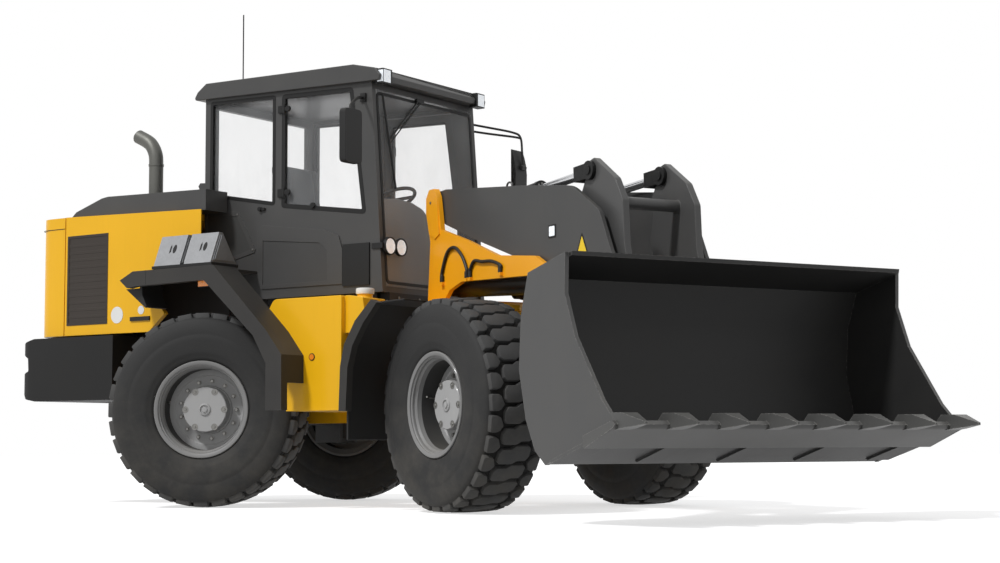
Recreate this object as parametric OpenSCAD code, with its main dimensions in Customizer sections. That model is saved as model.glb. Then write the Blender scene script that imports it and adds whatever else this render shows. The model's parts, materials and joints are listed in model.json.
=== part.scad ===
// Swing loader: rigid chassis, four steered wheels, boom on a slewing tower.
// Millimetres. +X forward, +Y left, +Z up, wheels standing on z = 0.

/* [Row frame] */
// Distance from the rear axle forward to the row origin
mid_x = 1979.7; // [-3000:0.1:3000]
// Distance from the centreline left to the row origin
mid_y = -642.6; // [-3000:0.1:3000]

/* [Running gear] */
// Rear axle to front axle
wheelbase = 2570; // [2200:5:3000]
// Centreline to each kingpin
king_y = 740; // [600:5:900]
// Kingpin to the middle plane of the tyre
king_out = 280; // [150:5:350]
// Rear wheels turned about their kingpins, left positive
rear_steer = 27; // [-28:0.5:28]
// Front wheels turned about their kingpins, left positive
front_steer = -23; // [-28:0.5:28]
// Rolling radius to the tips of the tread
tyre_r = 722; // [600:1:800]
// Tyre section width
tyre_w = 520; // [400:5:650]
// Lugs round a tyre
lugs = 32; // [16:1:36]
// Height of the lugs
lug_h = 34; // [10:1:45]
// Rim flange radius
rim_r = 358; // [300:1:420]

/* [Cab] */
// Half width of the cab at its side walls
cab_hw = 645; // [550:5:750]
// Cab floor underside
cab_z0 = 1565; // [1400:5:1700]
// Pillar and panel depth
wall_t = 45; // [25:1:90]

/* [Hood] */
// Half width over the hood sides
hood_hw = 950; // [800:5:1100]
// Underside of the hood sides
hood_z0 = 1335; // [1200:5:1500]
// Gap behind the hood, before the rear panel
hood_gap_x = -1500; // [-1700:5:-1300]

/* [Swing, boom and bucket] */
// Swing axis ahead of the rear axle
swing_x = 1944; // [1700:1:2300]
// Boom turned to the right
swing_deg = 26; // [-90:1:90]
// Half width over the boom plates
boom_hw = 375; // [300:1:450]
// Boom foot pin behind the swing axis
foot_x = -35; // [-200:1:200]
// Boom foot pin height
foot_z = 2222; // [2000:1:2400]
// Half width over the bucket side plates
bucket_hw = 1225; // [1000:5:1400]
// Bucket hinge ahead of the swing axis
hinge_x = 2490; // [2200:1:2800]
// Bucket hinge height
hinge_z = 590; // [400:1:900]
// Number of bucket teeth
teeth = 8; // [4:1:10]

/* [Hidden] */
$fn = 48;
// name, axle x, side, steer
corners = [
  ["rr", 0, -1, rear_steer],
  ["rl", 0, 1, rear_steer],
  ["fr", wheelbase, -1, front_steer],
  ["fl", wheelbase, 1, front_steer]
];
// Side profile of the rear fender band, x and z, outer run then inner run
rear_arch_out = [[-577, 1712], [-440, 1774], [384, 1778], [904, 1279], [1051, 1100], [1055, 705]];
rear_arch_in = [[905, 705], [905, 1040], [780, 1245], [290, 1672], [-425, 1660], [-500, 1650]];
// Side profile of the front fender band
front_arch_out = [for (p = [[-992, 690], [-980, 1000], [-945, 1150], [-850, 1310], [-710, 1452]]) p + [wheelbase, 0]];
front_arch_in = [for (p = [[-660, 1430], [-780, 1290], [-872, 1140], [-915, 990], [-930, 690]]) p + [wheelbase, 0]];
// Bucket shell, outside run from the edge back to the lip, then the inside run
shell_out = [[3625, 545], [2900, 340], [2790, 420], [2690, 600], [2616, 886], [2640, 1200], [2720, 1440], [3165, 1535]];
shell_in = [[3160, 1510], [2755, 1415], [2666, 1190], [2642, 890], [2714, 612], [2810, 440], [2905, 366], [3625, 575]];
// Bucket side plates
side_plate = [[3640, 560], [2900, 336], [2786, 418], [2684, 598], [2610, 886], [2635, 1202], [2716, 1446],
  [3130, 1530], [3122, 1300], [3225, 1050], [3500, 690]];
// Pins in the boom's plane, ahead of the swing axis and above the ground
tilt_pin = [1955, 2210];
lever_pin = [2300, 1459];
lever_low = [2014, 1200];
link_pin = [2460, 840];
tilt_foot = [150, 2110];
lift_foot = [60, 1600];
lift_eye = [1450, 1525];
foot_pin = [foot_x, foot_z];
hinge_pin = [hinge_x, hinge_z];
// Running gap between a pin and its bore, and between seated faces
gap = 0.3;
plate_t = 30;
// Wheel disc and hub face, out from the middle plane of the wheel
disc_z = 0;
hub_z = 128;
tower_y = boom_hw + 10;
// Teeth and wear bars spread over the width of the bucket
tooth_pitch = (2 * bucket_hw - 98) / (teeth - 1);
wear_pitch = (bucket_hw - 75) / 2;
lever_y = 250;
lever_t = 50;
lift_y = 265;
tilt_y = lever_y + lever_t / 2;
// Cab windows and roof line in side view
roof_line = [[-270, 3160], [1382, 3120]];
cab_front = [[1494, 1565], [1388, 3112]];
window_rear = [[-205, 2400], [445, 2285], [445, 3110], [-205, 3128]];
window_front = [[535, 2262], [1325, 2158], [1200, 3085], [535, 3104]];
door_edge = [[535, 1625], [1335, 1625], [1335, 2150], [1205, 3085], [535, 3104]];
// Frame of the cab's air intake
intake_out = [[-262, 1815], [-262, 2275], [-230, 2292], [85, 2250], [105, 2225], [262, 1950], [255, 1925]];
intake_in = [[-235, 1850], [-235, 2258], [62, 2218], [80, 2205], [225, 1950]];
// Hood hinge, just behind the cab's rear wall
hood_hinge = [-327, 2485];
hood_top = [[hood_gap_x, 2292], [-20, 2250]];
// Upright hinge of the cab door, x and y
door_hinge = [548, cab_hw + 52];
// Upright hinge of the rear panel, x and y
panel_hinge = [hood_gap_x - 6, hood_hw + 6];
rail_y = 330;
rail_t = 40;
tank_hw = 1000;
deck_hw = 560;
fender_top = 1778;
tank_top = 1520;
// Front face of the tanks, behind the front arches
tank_front = wheelbase - 1170;

yellow = [0.96, 0.72, 0.18];
tower_yellow = [0.96, 0.62, 0.13];
grey = [0.28, 0.28, 0.29];
black = [0.07, 0.07, 0.07];
steel = [0.6, 0.6, 0.6];

function unit(v) = v / norm(v);
function corner(a, b, c, r, n) =
  let (u = unit(a - b), v = unit(c - b), ang = acos(u * v), w = 180 - ang,
       m = b + unit(u + v) * r / sin(ang / 2), s = unit(b + u * r / tan(ang / 2) - m),
       e = unit(b + v * r / tan(ang / 2) - m))
  [for (i = [0:n]) m + r * (sin((1 - i / n) * w) * s + sin(i / n * w) * e) / sin(w)];
// Polygon points [x, y, radius] with their corners rounded
function rounded(p, n = 4) =
  [for (i = [0:len(p) - 1])
    let (k = len(p), a = p[(i + k - 1) % k], b = p[i], c = p[(i + 1) % k])
    each (b[2] > 0 ? corner([a[0], a[1]], [b[0], b[1]], [c[0], c[1]], b[2], n) : [[b[0], b[1]]])];

module place() {
  translate([-mid_x, -mid_y, 0]) children();
}

// Box between two corners
module block(a, b) {
  translate(a) cube(b - a);
}

// Side profile in x and z, from y0 to y1
module side(points, y0, y1) {
  translate([0, y1, 0]) rotate([90, 0, 0]) linear_extrude(y1 - y0) polygon(points);
}

// Plan profile in x and y, from z0 to z1
module plan(points, z0, z1) {
  translate([0, 0, z0]) linear_extrude(z1 - z0) polygon(points);
}

// The same on both sides of the centreline
module both() {
  children();
  mirror([0, 1, 0]) children();
}

// Round bar across the machine
module bar_y(x, z, r, y0, y1) {
  translate([x, y1, z]) rotate([90, 0, 0]) cylinder(r = r, h = y1 - y0);
}

// Hole for a pin at p = [x, z]
module bore(p, r) {
  bar_y(p[0], p[1], r + gap, -1300, 1300);
}

// Pin at p = [x, z] from y0 to y1
module pin(p, r, y0, y1) {
  bar_y(p[0], p[1], r, y0, y1);
}

// Round bar between two points
module bar(a, b, r) {
  d = b - a;
  translate(a) rotate([0, acos(d[2] / norm(d)), atan2(d[1], d[0])]) cylinder(r = r, h = norm(d));
}

// Tube swept along a smooth run of points
function smooth(p, n) =
  [for (i = [0:len(p) - 2], j = [0:n - 1])
    let (t = j / n, a = p[max(i - 1, 0)], b = p[i], c = p[i + 1], d = p[min(i + 2, len(p) - 1)])
    0.5 * (2 * b + (c - a) * t + (2 * a - 5 * b + 4 * c - d) * t * t + (3 * b - a - 3 * c + d) * t * t * t)];
module tube(p, r, n = 5, k = 8) {
  q = concat(smooth(p, n), [p[len(p) - 1]]);
  m = len(q);
  dirs = [for (i = [0:m - 1]) unit(q[min(i + 1, m - 1)] - q[max(i - 1, 0)])];
  ref = unit(cross(q[m - 1] - q[0], q[floor(m / 2)] - q[0]));
  pts = [for (i = [0:m - 1]) let (u = unit(cross(ref, dirs[i])), v = cross(dirs[i], u)) for (j = [0:k - 1])
    q[i] + r * (cos(360 * j / k) * u + sin(360 * j / k) * v)];
  faces = concat([[for (j = [0:k - 1]) j]], [[for (j = [0:k - 1]) (m - 1) * k + k - 1 - j]],
    [for (i = [0:m - 2], j = [0:k - 1])
      [i * k + j, (i + 1) * k + j, (i + 1) * k + (j + 1) % k, i * k + (j + 1) % k]]);
  polyhedron(pts, faces);
}

// Moves a wheel piece, modelled at the kingpin with its outer side at -Y, to its corner
module at_corner(i) {
  c = corners[i];
  translate([c[1], c[2] * king_y, tyre_r]) rotate([0, 0, c[3]]) scale([1, -c[2], 1]) children();
}

// Moves what is modelled with the boom straight ahead of the swing axis
module at_swing() {
  translate([swing_x, 0, 0]) rotate([0, 0, -swing_deg]) children();
}

module chassis_frame() color(yellow) {
  both() difference() {
    side([[-1700, 900], [-400, 900], [-300, 860], [300, 860], [420, 620], [2050, 620], [2220, 860], [2880, 860],
      [3040, 960], [3040, 1240], [2450, 1400], [1400, 1400], [1300, 1300], [-1700, 1300]], rail_y, rail_y + rail_t);
    side([[600, 740], [1900, 740], [1900, 1180], [600, 1180]], rail_y - 20, rail_y + rail_t + 20);
  }
  // Cross members: x, bottom, top
  for (m = [[-1700, 1000, 1290], [-240, 960, 1290], [460, 660, 1290], [1960, 660, 1330], [3000, 980, 1230]])
    block([m[0], -rail_y, m[1]], [m[0] + 40, rail_y, m[2]]);
  // Deck round the slewing ring
  plan([[1400, -deck_hw], [2110, -deck_hw], [2300, -480], [2480, -330], [2480, 330], [2300, 480], [2110, deck_hw],
    [1400, deck_hw]], 1400, 1440);
  translate([swing_x, 0, 1440]) cylinder(r = 320, h = 40 - gap);
}

module counterweight() color(grey) {
  profile = rounded([[-900, 1320, 0], [-1800, 1320, 0], [-1925, 1290, 25], [-1968, 1250, 18], [-1962, 1205, 18],
    [-1870, 1165, 20], [-1862, 1060, 15], [-1975, 1030, 10], [-1982, 930, 60], [-1900, 835, 60], [-1780, 815, 0],
    [-900, 815, 0]]);
  outline = rounded([[-900, -1000, 0], [-1985, -1000, 130], [-1985, 1000, 130], [-900, 1000, 0]], 5);
  difference() {
    intersection() {
      side(profile, -1000, 1000);
      plan(outline, 800, 1330);
    }
    block([-1700, -rail_y - rail_t, 790], [-880, rail_y + rail_t, 1330]);
    block([-2000, -110, 1050], [-1850, 110, 1180]);
    translate([-1925, 0, 780]) cylinder(r = 30, h = 560);
  }
}

module side_tanks() color(yellow) {
  body = rounded([[885, 700, 0], [tank_front, 700, 12], [tank_front, tank_top, 12], [760, tank_top, 60], [705, 1430, 40],
    [790, 1260, 60], [905, 1080, 60]]);
  side(body, -tank_hw, -rail_y - rail_t);
  // Filler neck on the right tank
  translate([tank_front, 0, 0]) {
    side([[0, 1250], [150, 1250], [180, 1400], [160, 1500], [40, tank_top], [0, tank_top]], -960, -700);
    translate([80, -830, 1480]) cylinder(r = 55, h = 90);
  }
  // Steps in the left tank
  difference() {
    side(body, rail_y + rail_t, tank_hw);
    for (z = [820, 1090, 1360]) block([tank_front - 420, 800, z], [tank_front - 70, tank_hw + 10, z + 150]);
  }
}

module fenders() color(grey) {
  both() {
    side(concat(rear_arch_out, rear_arch_in), 1180, 1245);
    side([[-440, fender_top - 4], [285, fender_top], [285, 1756], [-436, 1756]], cab_hw + gap, 1180);
    side([[280, fender_top], [384, fender_top], [640, 1533], [623, 1516], [378, 1756], [280, 1756]],
      tank_hw + gap, 1180);
    side([[640, 1533], [905, 1279], [1051, 1100], [1053, 900], [1035, 900], [1033, 1096], [890, 1268], [623, 1516]],
      tank_hw + gap, 1180);
    side(concat(front_arch_out, front_arch_in), 1180, 1245);
  }
}

module arch_liners() color(black) {
  both() {
    side([[-577, 1650], [-430, 1650], [-425, 1756], [378, 1756], [366, 1738], [-406, 1738], [-400, 1600], [-352, 1506],
      [-368, 1498]], hood_hw + 10, 1180);
    translate([wheelbase, 0, 0]) side([[-974, 490], [-970, 990], [-934, 1145], [-844, 1300], [-705, 1440],
      [-470, 1452], [-470, 1440], [-698, 1426], [-832, 1290], [-918, 1138], [-954, 985], [-958, 490]], deck_hw, 1180);
  }
}

module wheel_chocks() color(steel) {
  wedge = [[-1240, 1800], [-1150, 2030], [-1110, 2030], [-hood_hw - 8, 1800]];
  for (x = [-225, 85]) difference() {
    translate([x, 0, 0]) rotate([90, 0, 90]) linear_extrude(270) polygon(wedge);
    // Two hand slots in the outer face
    for (w = [130, 175]) translate([x + w, -1192, 1925]) rotate([-21.4, 0, 0]) {
      block([-9, -12, -18], [9, 12, 18]);
      for (z = [-18, 18]) translate([0, 12, z]) rotate([90, 0, 0]) cylinder(r = 9, h = 24, $fn = 24);
    }
  }
  block([-240, -1244, fender_top], [370, -hood_hw - 6, 1800]);
}

module engine_block() color(steel) {
  block([-1250, -rail_y, 960], [-300, rail_y, 1950]);
  block([-1380, -400, 1340], [-1250, 400, 2050]);
  block([-1450, -700, 1350], [-1380, 700, 2200]);
}

module axles() color(grey) {
  for (x = [0, wheelbase]) {
    translate([x, 0, tyre_r]) {
      rotate([90, 0, 0]) cylinder(r = 105, h = 1130, center = true);
      sphere(r = 230);
      both() {
        block([-130, 540, -245], [130, 575, 245]);
        for (s = [-1, 1]) difference() {
          union() {
            translate([0, king_y, s * 225]) cylinder(r = 95, h = 36, center = true);
            translate([-95, 545, s * 225 - 18]) cube([190, king_y - 545, 36]);
          }
          translate([0, king_y, s * 225]) cylinder(r = 40 + gap, h = 60, center = true);
        }
      }
    }
    both() block([x - 130, rail_y, tyre_r + 80], [x + 130, rail_y + rail_t, 860]);
  }
}

// Wheel pieces: origin at the kingpin on the hub line, outer side at -Y
module knuckle() color(grey) {
  cylinder(r = 125, h = 414 - 2 * gap, center = true);
  cylinder(r = 40, h = 500, center = true);
  rotate([90, 0, 0]) cylinder(r = 165, h = king_out - 60 - gap);
  block([-260, 20, -60], [-80, 60, -20]);
}

module rim() color(steel) {
  translate([0, -king_out, 0]) rotate([90, 0, 0]) {
    rotate_extrude($fn = 96) polygon([[300, -205], [300, 205], [330, 232], [rim_r, 232], [rim_r, 214], [317, 212],
      [317, -212], [rim_r, -214], [rim_r, -232], [330, -232]]);
    translate([0, 0, disc_z]) cylinder(r = 300, h = 24, $fn = 96);
    translate([0, 0, -60]) cylinder(r = 170, h = disc_z + 70);
    // Hub cover with scallops at its edge, centre cap, wheel bolts
    difference() {
      translate([0, 0, disc_z + 20]) cylinder(r = 168, h = hub_z - disc_z - 20);
      for (k = [0:5]) rotate([0, 0, 60 * k]) translate([158, 0, hub_z - 18]) cylinder(r = 22, h = 30, $fn = 24);
    }
    translate([0, 0, hub_z - 5]) cylinder(r = 38, h = 19);
    for (k = [0:12]) rotate([0, 0, 360 / 13 * k]) translate([215, 0, disc_z + 20])
      cylinder(r = 15, h = 20, $fn = 6);
  }
}

module tyre() color(black) {
  h = tyre_w / 2;
  base = tyre_r - lug_h;
  // Bead, flange, widest, shoulder and tread edge: radius and half width
  half = [[317 + gap, 211.5], [rim_r + 3, 213.7], [530, h], [640, h - 14], [base, h - 50]];
  translate([0, -king_out, 0]) rotate([90, 0, 0]) {
    rotate_extrude($fn = lugs)
      polygon(concat([for (p = half) [p[0], -p[1]]], [for (i = [len(half) - 1:-1:0]) half[i]]));
    // Slanted lugs from shoulder to shoulder
    for (k = [0:lugs - 1]) rotate([0, 0, 360 / lugs * (k + 0.5)])
      translate([base - 24, 0, 0]) rotate([90, 0, 90]) linear_extrude(lug_h + 22)
        polygon([[-54, 38 - h], [-14, h - 38], [54, h - 38], [14, 38 - h]]);
  }
}

module cab_shell() color(grey) {
  side_wall = concat([[330, cab_z0]], cab_front, [roof_line[1], roof_line[0], [-270, 1800], [60, 1800]]);
  inner = cab_hw - wall_t;
  difference() {
    both() side(side_wall, inner, cab_hw);
    both() side(window_rear, inner - 10, cab_hw + 10);
    side(window_front, -cab_hw - 10, -inner + 10);
    side(door_edge, inner - 10, cab_hw + 10);
  }
  // Raised panel with its inset on the right, raised frame of the air intake on both sides
  difference() {
    side([[290, 1690], [290, 2100], [330, 2128], [960, 2050], [1085, 2000], [1120, 1900], [1120, 1640], [330, 1640]],
      -cab_hw - 9, -cab_hw + 5);
    side([[343, 1670], [343, 2010], [900, 1960], [975, 1900], [985, 1670]], -cab_hw - 20, -cab_hw - 4);
  }
  both() difference() {
    side(intake_out, cab_hw - 5, cab_hw + 6);
    side(intake_in, cab_hw - 12, cab_hw + 20);
  }
  // Rear wall, floor and sloping back of the floor
  block([-270, -inner, 1800], [-225, inner, 2330]);
  block([330, -inner, cab_z0], [1470, inner, 1610]);
  side([[-225, 1800], [60, 1800], [330, cab_z0], [330, 1610], [80, 1840], [-225, 1840]], -inner, inner);
  // Rear corner posts and head rails
  both() block([-270, 540, 2330], [-225, inner, 3100]);
  side([[-270, 3100], [-225, 3100], [-225, 3158.9], [-270, 3160]], -inner, inner);
  side([[1340, 3070], [1391, 3070], [1388, 3112], [1382, 3120], [1340, 3121]], -inner, inner);
  // Door hinge halves on the post
  for (z = [1990 + gap, 2890 + gap]) {
    translate([door_hinge[0], door_hinge[1], z]) cylinder(r = 12, h = 40);
    block([505, cab_hw - 5, z + 5], [533, cab_hw + 6, z + 35]);
    block([505, cab_hw + 4, z + 5], [door_hinge[0], door_hinge[1], z + 35]);
  }
  // Hood hinge brackets and pins
  both() {
    for (y = [545, 625]) side([[-270, 2400], [-270, 2505], hood_hinge + [0, 24],
      hood_hinge + [-20, 0], hood_hinge + [-8, -20]], y, y + 15);
    pin(hood_hinge, 12, 545, 640);
  }
}

module cab_roof() color(grey) {
  difference() {
    side([[-360, 3180], [-330, 3225], [-240, 3286], [1235, 3262], [1440, 3215], [1490, 3160], [1480, 3120],
      roof_line[1], roof_line[0], [-350, 3162]], -680, 680);
    both() block([1430, 540, 3100], [1520, 650, 3210]);
  }
}

module cab_glass() color([0.7, 0.8, 0.85, 0.35]) {
  both() side(window_rear, cab_hw - 28, cab_hw - 20);
  side(window_front, -cab_hw + 20, -cab_hw + 28);
  side([[1484, 1610], [1490.9, 1610], [1391, 3069.7], [1384, 3069.7]], -cab_hw + wall_t, cab_hw - wall_t);
  block([-252, -540, 2330], [-244, 540, 3100]);
}

module cab_trim() color(black) {
  // Rubber-mounted sill under the cab
  block([345, -595, tank_top], [1400, 595, cab_z0]);
  difference() {
    block([1400, -deck_hw, 1440], [1492, deck_hw, cab_z0]);
    block([1300, -deck_hw - 10, 1400], [tank_front, deck_hw + 10, tank_top]);
  }
  side([[1125, 1620], [1376, 1620], [1376, 1930], [1125, 1930]], -657, -cab_hw);
  // Wiper on the windscreen and aerial on the roof
  block([1393.3, -130, 3040], [1420, -40, 3069]);
  bar([1409, -543, 3040], [1457, -443, 2341], 9);
  bar([1406, -105, 3050], [1434, -492, 2700], 7);
  bar([1406, -65, 3050], [1434, -488, 2670], 5);
  translate([-195, -300, 0]) bar([0, 0, 3285.5], [0, 0, 3900], 5);
}

module seat() color(black) {
  block([150, -260, 1820], [680, 260, 1960]);
  side([[120, 1940], [250, 1940], [150, 2700], [40, 2700]], -240, 240);
  block([340, -200, 1610], [620, 200, 1820]);
}

module controls() color(black) {
  side([[1180, 1610], [1300, 1610], [1120, 2300], [1060, 2280]], -90, 90);
  translate([1075, 0, 2330]) rotate([0, -25, 0]) {
    rotate_extrude() translate([190, 0]) circle(r = 14, $fn = 16);
    translate([0, 0, -60]) cylinder(r = 30, h = 70);
    for (k = [0:2]) rotate([0, 0, 120 * k + 60]) block([0, -14, -8], [190, 14, 8]);
  }
  block([335, -520, 1610], [900, -330, 2050]);
}

module cab_lamps() color(steel) {
  both() {
    for (y = [-572, -440]) translate([1477, y, 1902]) rotate([0, 90, 0]) cylinder(r = 67, h = 39);
    block([1400, -657, 1882], [1500, -cab_hw - gap, 1922]);
    block([1478, -657, 1882], [1500, -590, 1922]);
    block([1430, -650, 3100], [1500, -540, 3210]);
  }
}

module mirrors() color(black) {
  // Right mirror on a short arm
  block([1400, -1040, 2470], [1460, -840, 2870]);
  block([1290, -665, 2975], [1340, -cab_hw, 3040]);
  bar([1315, -655, 3005], [1430, -940, 2860], 12);
  // Left mirror on a tube loop
  block([1585, 880, 2480], [1635, 1050, 2800]);
  block([1290, cab_hw, 2800], [1340, 665, 3040]);
  bar([1315, 655, 2990], [1605, 960, 2870], 12);
  bar([1605, 960, 2878], [1605, 960, 2780], 12);
}

module hood() color(yellow) {
  cut = [[-280, 1700], [10, 1700], [10, 2500], [-280, 2500]];
  // Beside the cab only a thin skin is left
  difference() {
    union() {
      both() side([[hood_gap_x, hood_z0], [-560, hood_z0], [-392, 1470], [-582, 1700], [-582, 1790], [-292, 1800],
        [-150, 1812], [-20, 1860], hood_top[1], hood_top[0]], hood_hw - 40, hood_hw);
      side([[hood_gap_x, 2240], [-20, 2200], hood_top[1], hood_top[0]], -hood_hw, hood_hw);
    }
    side(cut, -hood_hw + 8, hood_hw - 8);
  }
  // Raised frame of the side grille, handle and discs
  both() {
    difference() {
      block([-1475, hood_hw - 5, 1415], [-1015, hood_hw + 4, 2135]);
      block([-1455, hood_hw - 10, 1435], [-1035, hood_hw + 20, 2115]);
    }
    for (i = [1:11]) block([-1460, hood_hw - 5, 1435 + i * 57 - 20], [-1030, hood_hw + 2, 1435 + i * 57]);
    block([-755, hood_hw - 5, 1424], [-545, hood_hw + 12, 1456]);
    bar_y(-907, 1479, 66, hood_hw - 5, hood_hw + 2);
    bar_y(-644, 1507, 34, hood_hw - 5, hood_hw + 2);
  }
  // Flange that the rear panel closes on
  both() block([hood_gap_x - 10 + gap, hood_hw - 75, 1360], [-1460, hood_hw - 40, 2240]);
}

module hood_cover() color(grey) {
  difference() {
    side([hood_top[0] + [5, -0.14], hood_top[1], [-20, 2410], [-1083, 2434], [-1150, 2425], [-1440, 2335]], -900, 900);
    block([-280, -cab_hw - 15, 2200], [10, cab_hw + 15, 2500]);
    translate([-900, -550, 2200]) cylinder(r = 57 + gap, h = 300);
    both() block([-380, 540, 2390], [-200, 645, 2500]);
  }
  both() difference() {
    union() {
      pin(hood_hinge, 22, 564, 621);
      side([[-385, 2380], [-300, 2380], [-305, 2485], [-349, 2485]], 564, 621);
    }
    bore(hood_hinge, 12);
  }
}

module exhaust() color(black) {
  translate([-900, -550, 2340]) cylinder(r = 57, h = 376);
  translate([-900, -550, 2716]) tube([[0, 0, 0], [-10, 0, 90], [-70, 0, 180], [-200, 0, 250]], 57, 6, 16);
}

module rear_panel() color(yellow) {
  x = hood_gap_x - 10;
  w = hood_hw - 50;
  outline = rounded([[x, -hood_hw, 0], [x - 320, -hood_hw, 150], [x - 320, hood_hw, 150], [x, hood_hw, 0]], 6);
  inner = rounded([[x + 110, -w, 0], [x - 270, -w, 110], [x - 270, w, 110], [x + 110, w, 0]], 6);
  difference() {
    plan(outline, hood_z0, 2290);
    plan(inner, hood_z0 - 5, 2240);
    block([x - 390, -600, 1500], [x - 190, 600, 2150]);
  }
  both() block([x - 30, hood_hw - 80, 1360], [x, hood_hw - 45, 2240]);
  // Grille bars and rear lamps
  for (z = [1540:66:2110]) block([x - 308, -610, z], [x - 278, 610, z + 20]);
  for (y = [-370, 0, 370]) block([x - 300, y - 15, 1490], [x - 285, y + 15, 2160]);
  both() for (z = [1980, 2110]) translate([x - 332, hood_hw - 210, z]) rotate([0, 90, 0]) cylinder(r = 48, h = 30);
  // Hinge barrels at the left edge
  for (z = [1520, 2060]) {
    translate([panel_hinge[0], panel_hinge[1], z]) cylinder(r = 8, h = 90);
    block([x - 20, hood_hw - 5, z + 5], [x + 2, hood_hw + 7, z + 85]);
  }
}

module cab_door() color(grey) {
  difference() {
    side([[540, 1630], [1330, 1630], [1330, 2148], [1201, 3080], [540, 3099]], cab_hw - 40, cab_hw);
    side([[600, 1700], [1265, 1700], [1265, 2138], [1145, 3022], [600, 3037]], cab_hw - 60, cab_hw + 20);
  }
  // Handle, and hinge barrels over the post
  block([1150, cab_hw - 5, 2040], [1290, cab_hw + 22, 2072]);
  for (z = [1900, 2800]) {
    translate([door_hinge[0], door_hinge[1], z]) cylinder(r = 12, h = 90);
    block([door_hinge[0], cab_hw - 5, z + 10], [door_hinge[0] + 34, door_hinge[1], z + 80]);
  }
}

module door_glass() color([0.7, 0.8, 0.85, 0.35]) {
  side([[600, 1700], [1265, 1700], [1265, 2138], [1145, 3022], [600, 3037]], cab_hw - 25, cab_hw - 17);
}

module swing_tower() color(tower_yellow) at_swing() {
  plate = [[-100, 1482], [-60, 1930], [-108, 2150], [-108, 2260], [-60, 2320], [20, 2320], [60, 2260], [110, 2010],
    [500, 1895], [940, 1748], [1440, 1700], [1580, 1630], [1350, 1575], [420, 1608], [240, 1560], [150, 1482]];
  both() {
    side(plate, tower_y, tower_y + 35);
    side([[-108, 2150], [-108, 2260], [-60, 2320], [20, 2320], [60, 2260], [95, 1980], [30, 1950], [-60, 1990]],
      tower_y + 35, tower_y + 45);
    for (x = [150, 520, 570, 1000]) block([x - 18, -445, 1600], [x + 18, -tower_y - 35, 1625]);
  }
  intersection() {
    translate([0, 0, 1480]) cylinder(r = 428, h = 22);
    block([-400, -tower_y, 1480], [150, tower_y, 1502]);
  }
  pin(foot_pin, 40, -tower_y - 45, tower_y + 45);
  pin(lift_foot, 35, -tower_y, tower_y);
}

module tower_hoses() color(black) at_swing() {
  translate([0, -433, 0]) {
    tube([[150, 0, 1625.5], [150, 0, 1660], [150, 0, 1700], [230, 0, 1832], [340, 0, 1858], [450, 0, 1790],
      [520, 0, 1690], [520, 0, 1660], [520, 0, 1625.5]], 12);
    tube([[570, 0, 1625.5], [570, 0, 1650], [570, 0, 1675], [630, 0, 1735], [740, 0, 1722], [880, 0, 1712],
      [1000, 0, 1675], [1000, 0, 1650], [1000, 0, 1625.5]], 12);
  }
}

module boom() color(grey) at_swing() {
  plate = rounded([[-110, 2150, 60], [-110, 2300, 60], [100, 2310, 0], [1167, 2205, 0], [1835, 2125, 300],
    [2160, 1930, 100], [2293, 1657, 0], [2405, 1480, 60], [2430, 1330, 0], [2560, 900, 60], [2585, 640, 80],
    [2540, 500, 60], [2440, 500, 60], [2360, 620, 100], [1950, 1340, 100], [1780, 1450, 80], [1600, 1560, 0],
    [1530, 1450, 60], [1390, 1440, 60], [1250, 1680, 0], [600, 1880, 0], [100, 2050, 0]]);
  both() {
    difference() {
      side(plate, boom_hw - plate_t, boom_hw);
      bore(foot_pin, 40);
      bore(hinge_pin, 40);
      bore(lever_pin, 40);
    }
  }
  side([[300, 1988], [600, 1892], [1250, 1692], [1250, 1717], [600, 1917], [300, 2013]], -boom_hw + plate_t,
    boom_hw - plate_t);
  both() block([1548, boom_hw - 5, 1806], [1640, boom_hw + 4, 1894]);
  pin(tilt_foot, 30, -boom_hw + plate_t, boom_hw - plate_t);
  both() pin(lift_eye, 48, lift_y + 42, boom_hw - plate_t + 10);
}

module tilt_levers() color(grey) at_swing() {
  lever = rounded([[1890, 2170, 30], [1890, 2265, 40], [1990, 2290, 20], [2230, 2130, 60], [2320, 1980, 40],
    [2335, 1700, 0], [2390, 1500, 60], [2350, 1370, 60], [2240, 1340, 0], [2080, 1130, 60], [1960, 1120, 60],
    [1930, 1240, 60], [2120, 1440, 60], [2010, 1600, 0], [1840, 1690, 60], [1815, 1800, 0], [1850, 1960, 0],
    [1830, 2070, 60]]);
  both() {
    side(lever, lever_y, lever_y + lever_t);
    pin(lever_low, 30, lever_y - 70, lever_y);
    pin(lever_pin, 40, lever_y + lever_t, boom_hw);
  }
  bar_y(2126, 1990, 40, -lever_y, lever_y);
}

module tilt_links() color(grey) at_swing() {
  d = link_pin - lever_low;
  n = unit([d[1], -d[0]]) * 45;
  both() difference() {
    union() {
      for (p = [lever_low, link_pin]) pin(p, 62, lever_y - 60, lever_y - 10);
      side([lever_low + n, link_pin + n, link_pin - n, lever_low - n], lever_y - 60, lever_y - 10);
    }
    bore(lever_low, 30);
  }
}

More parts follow.
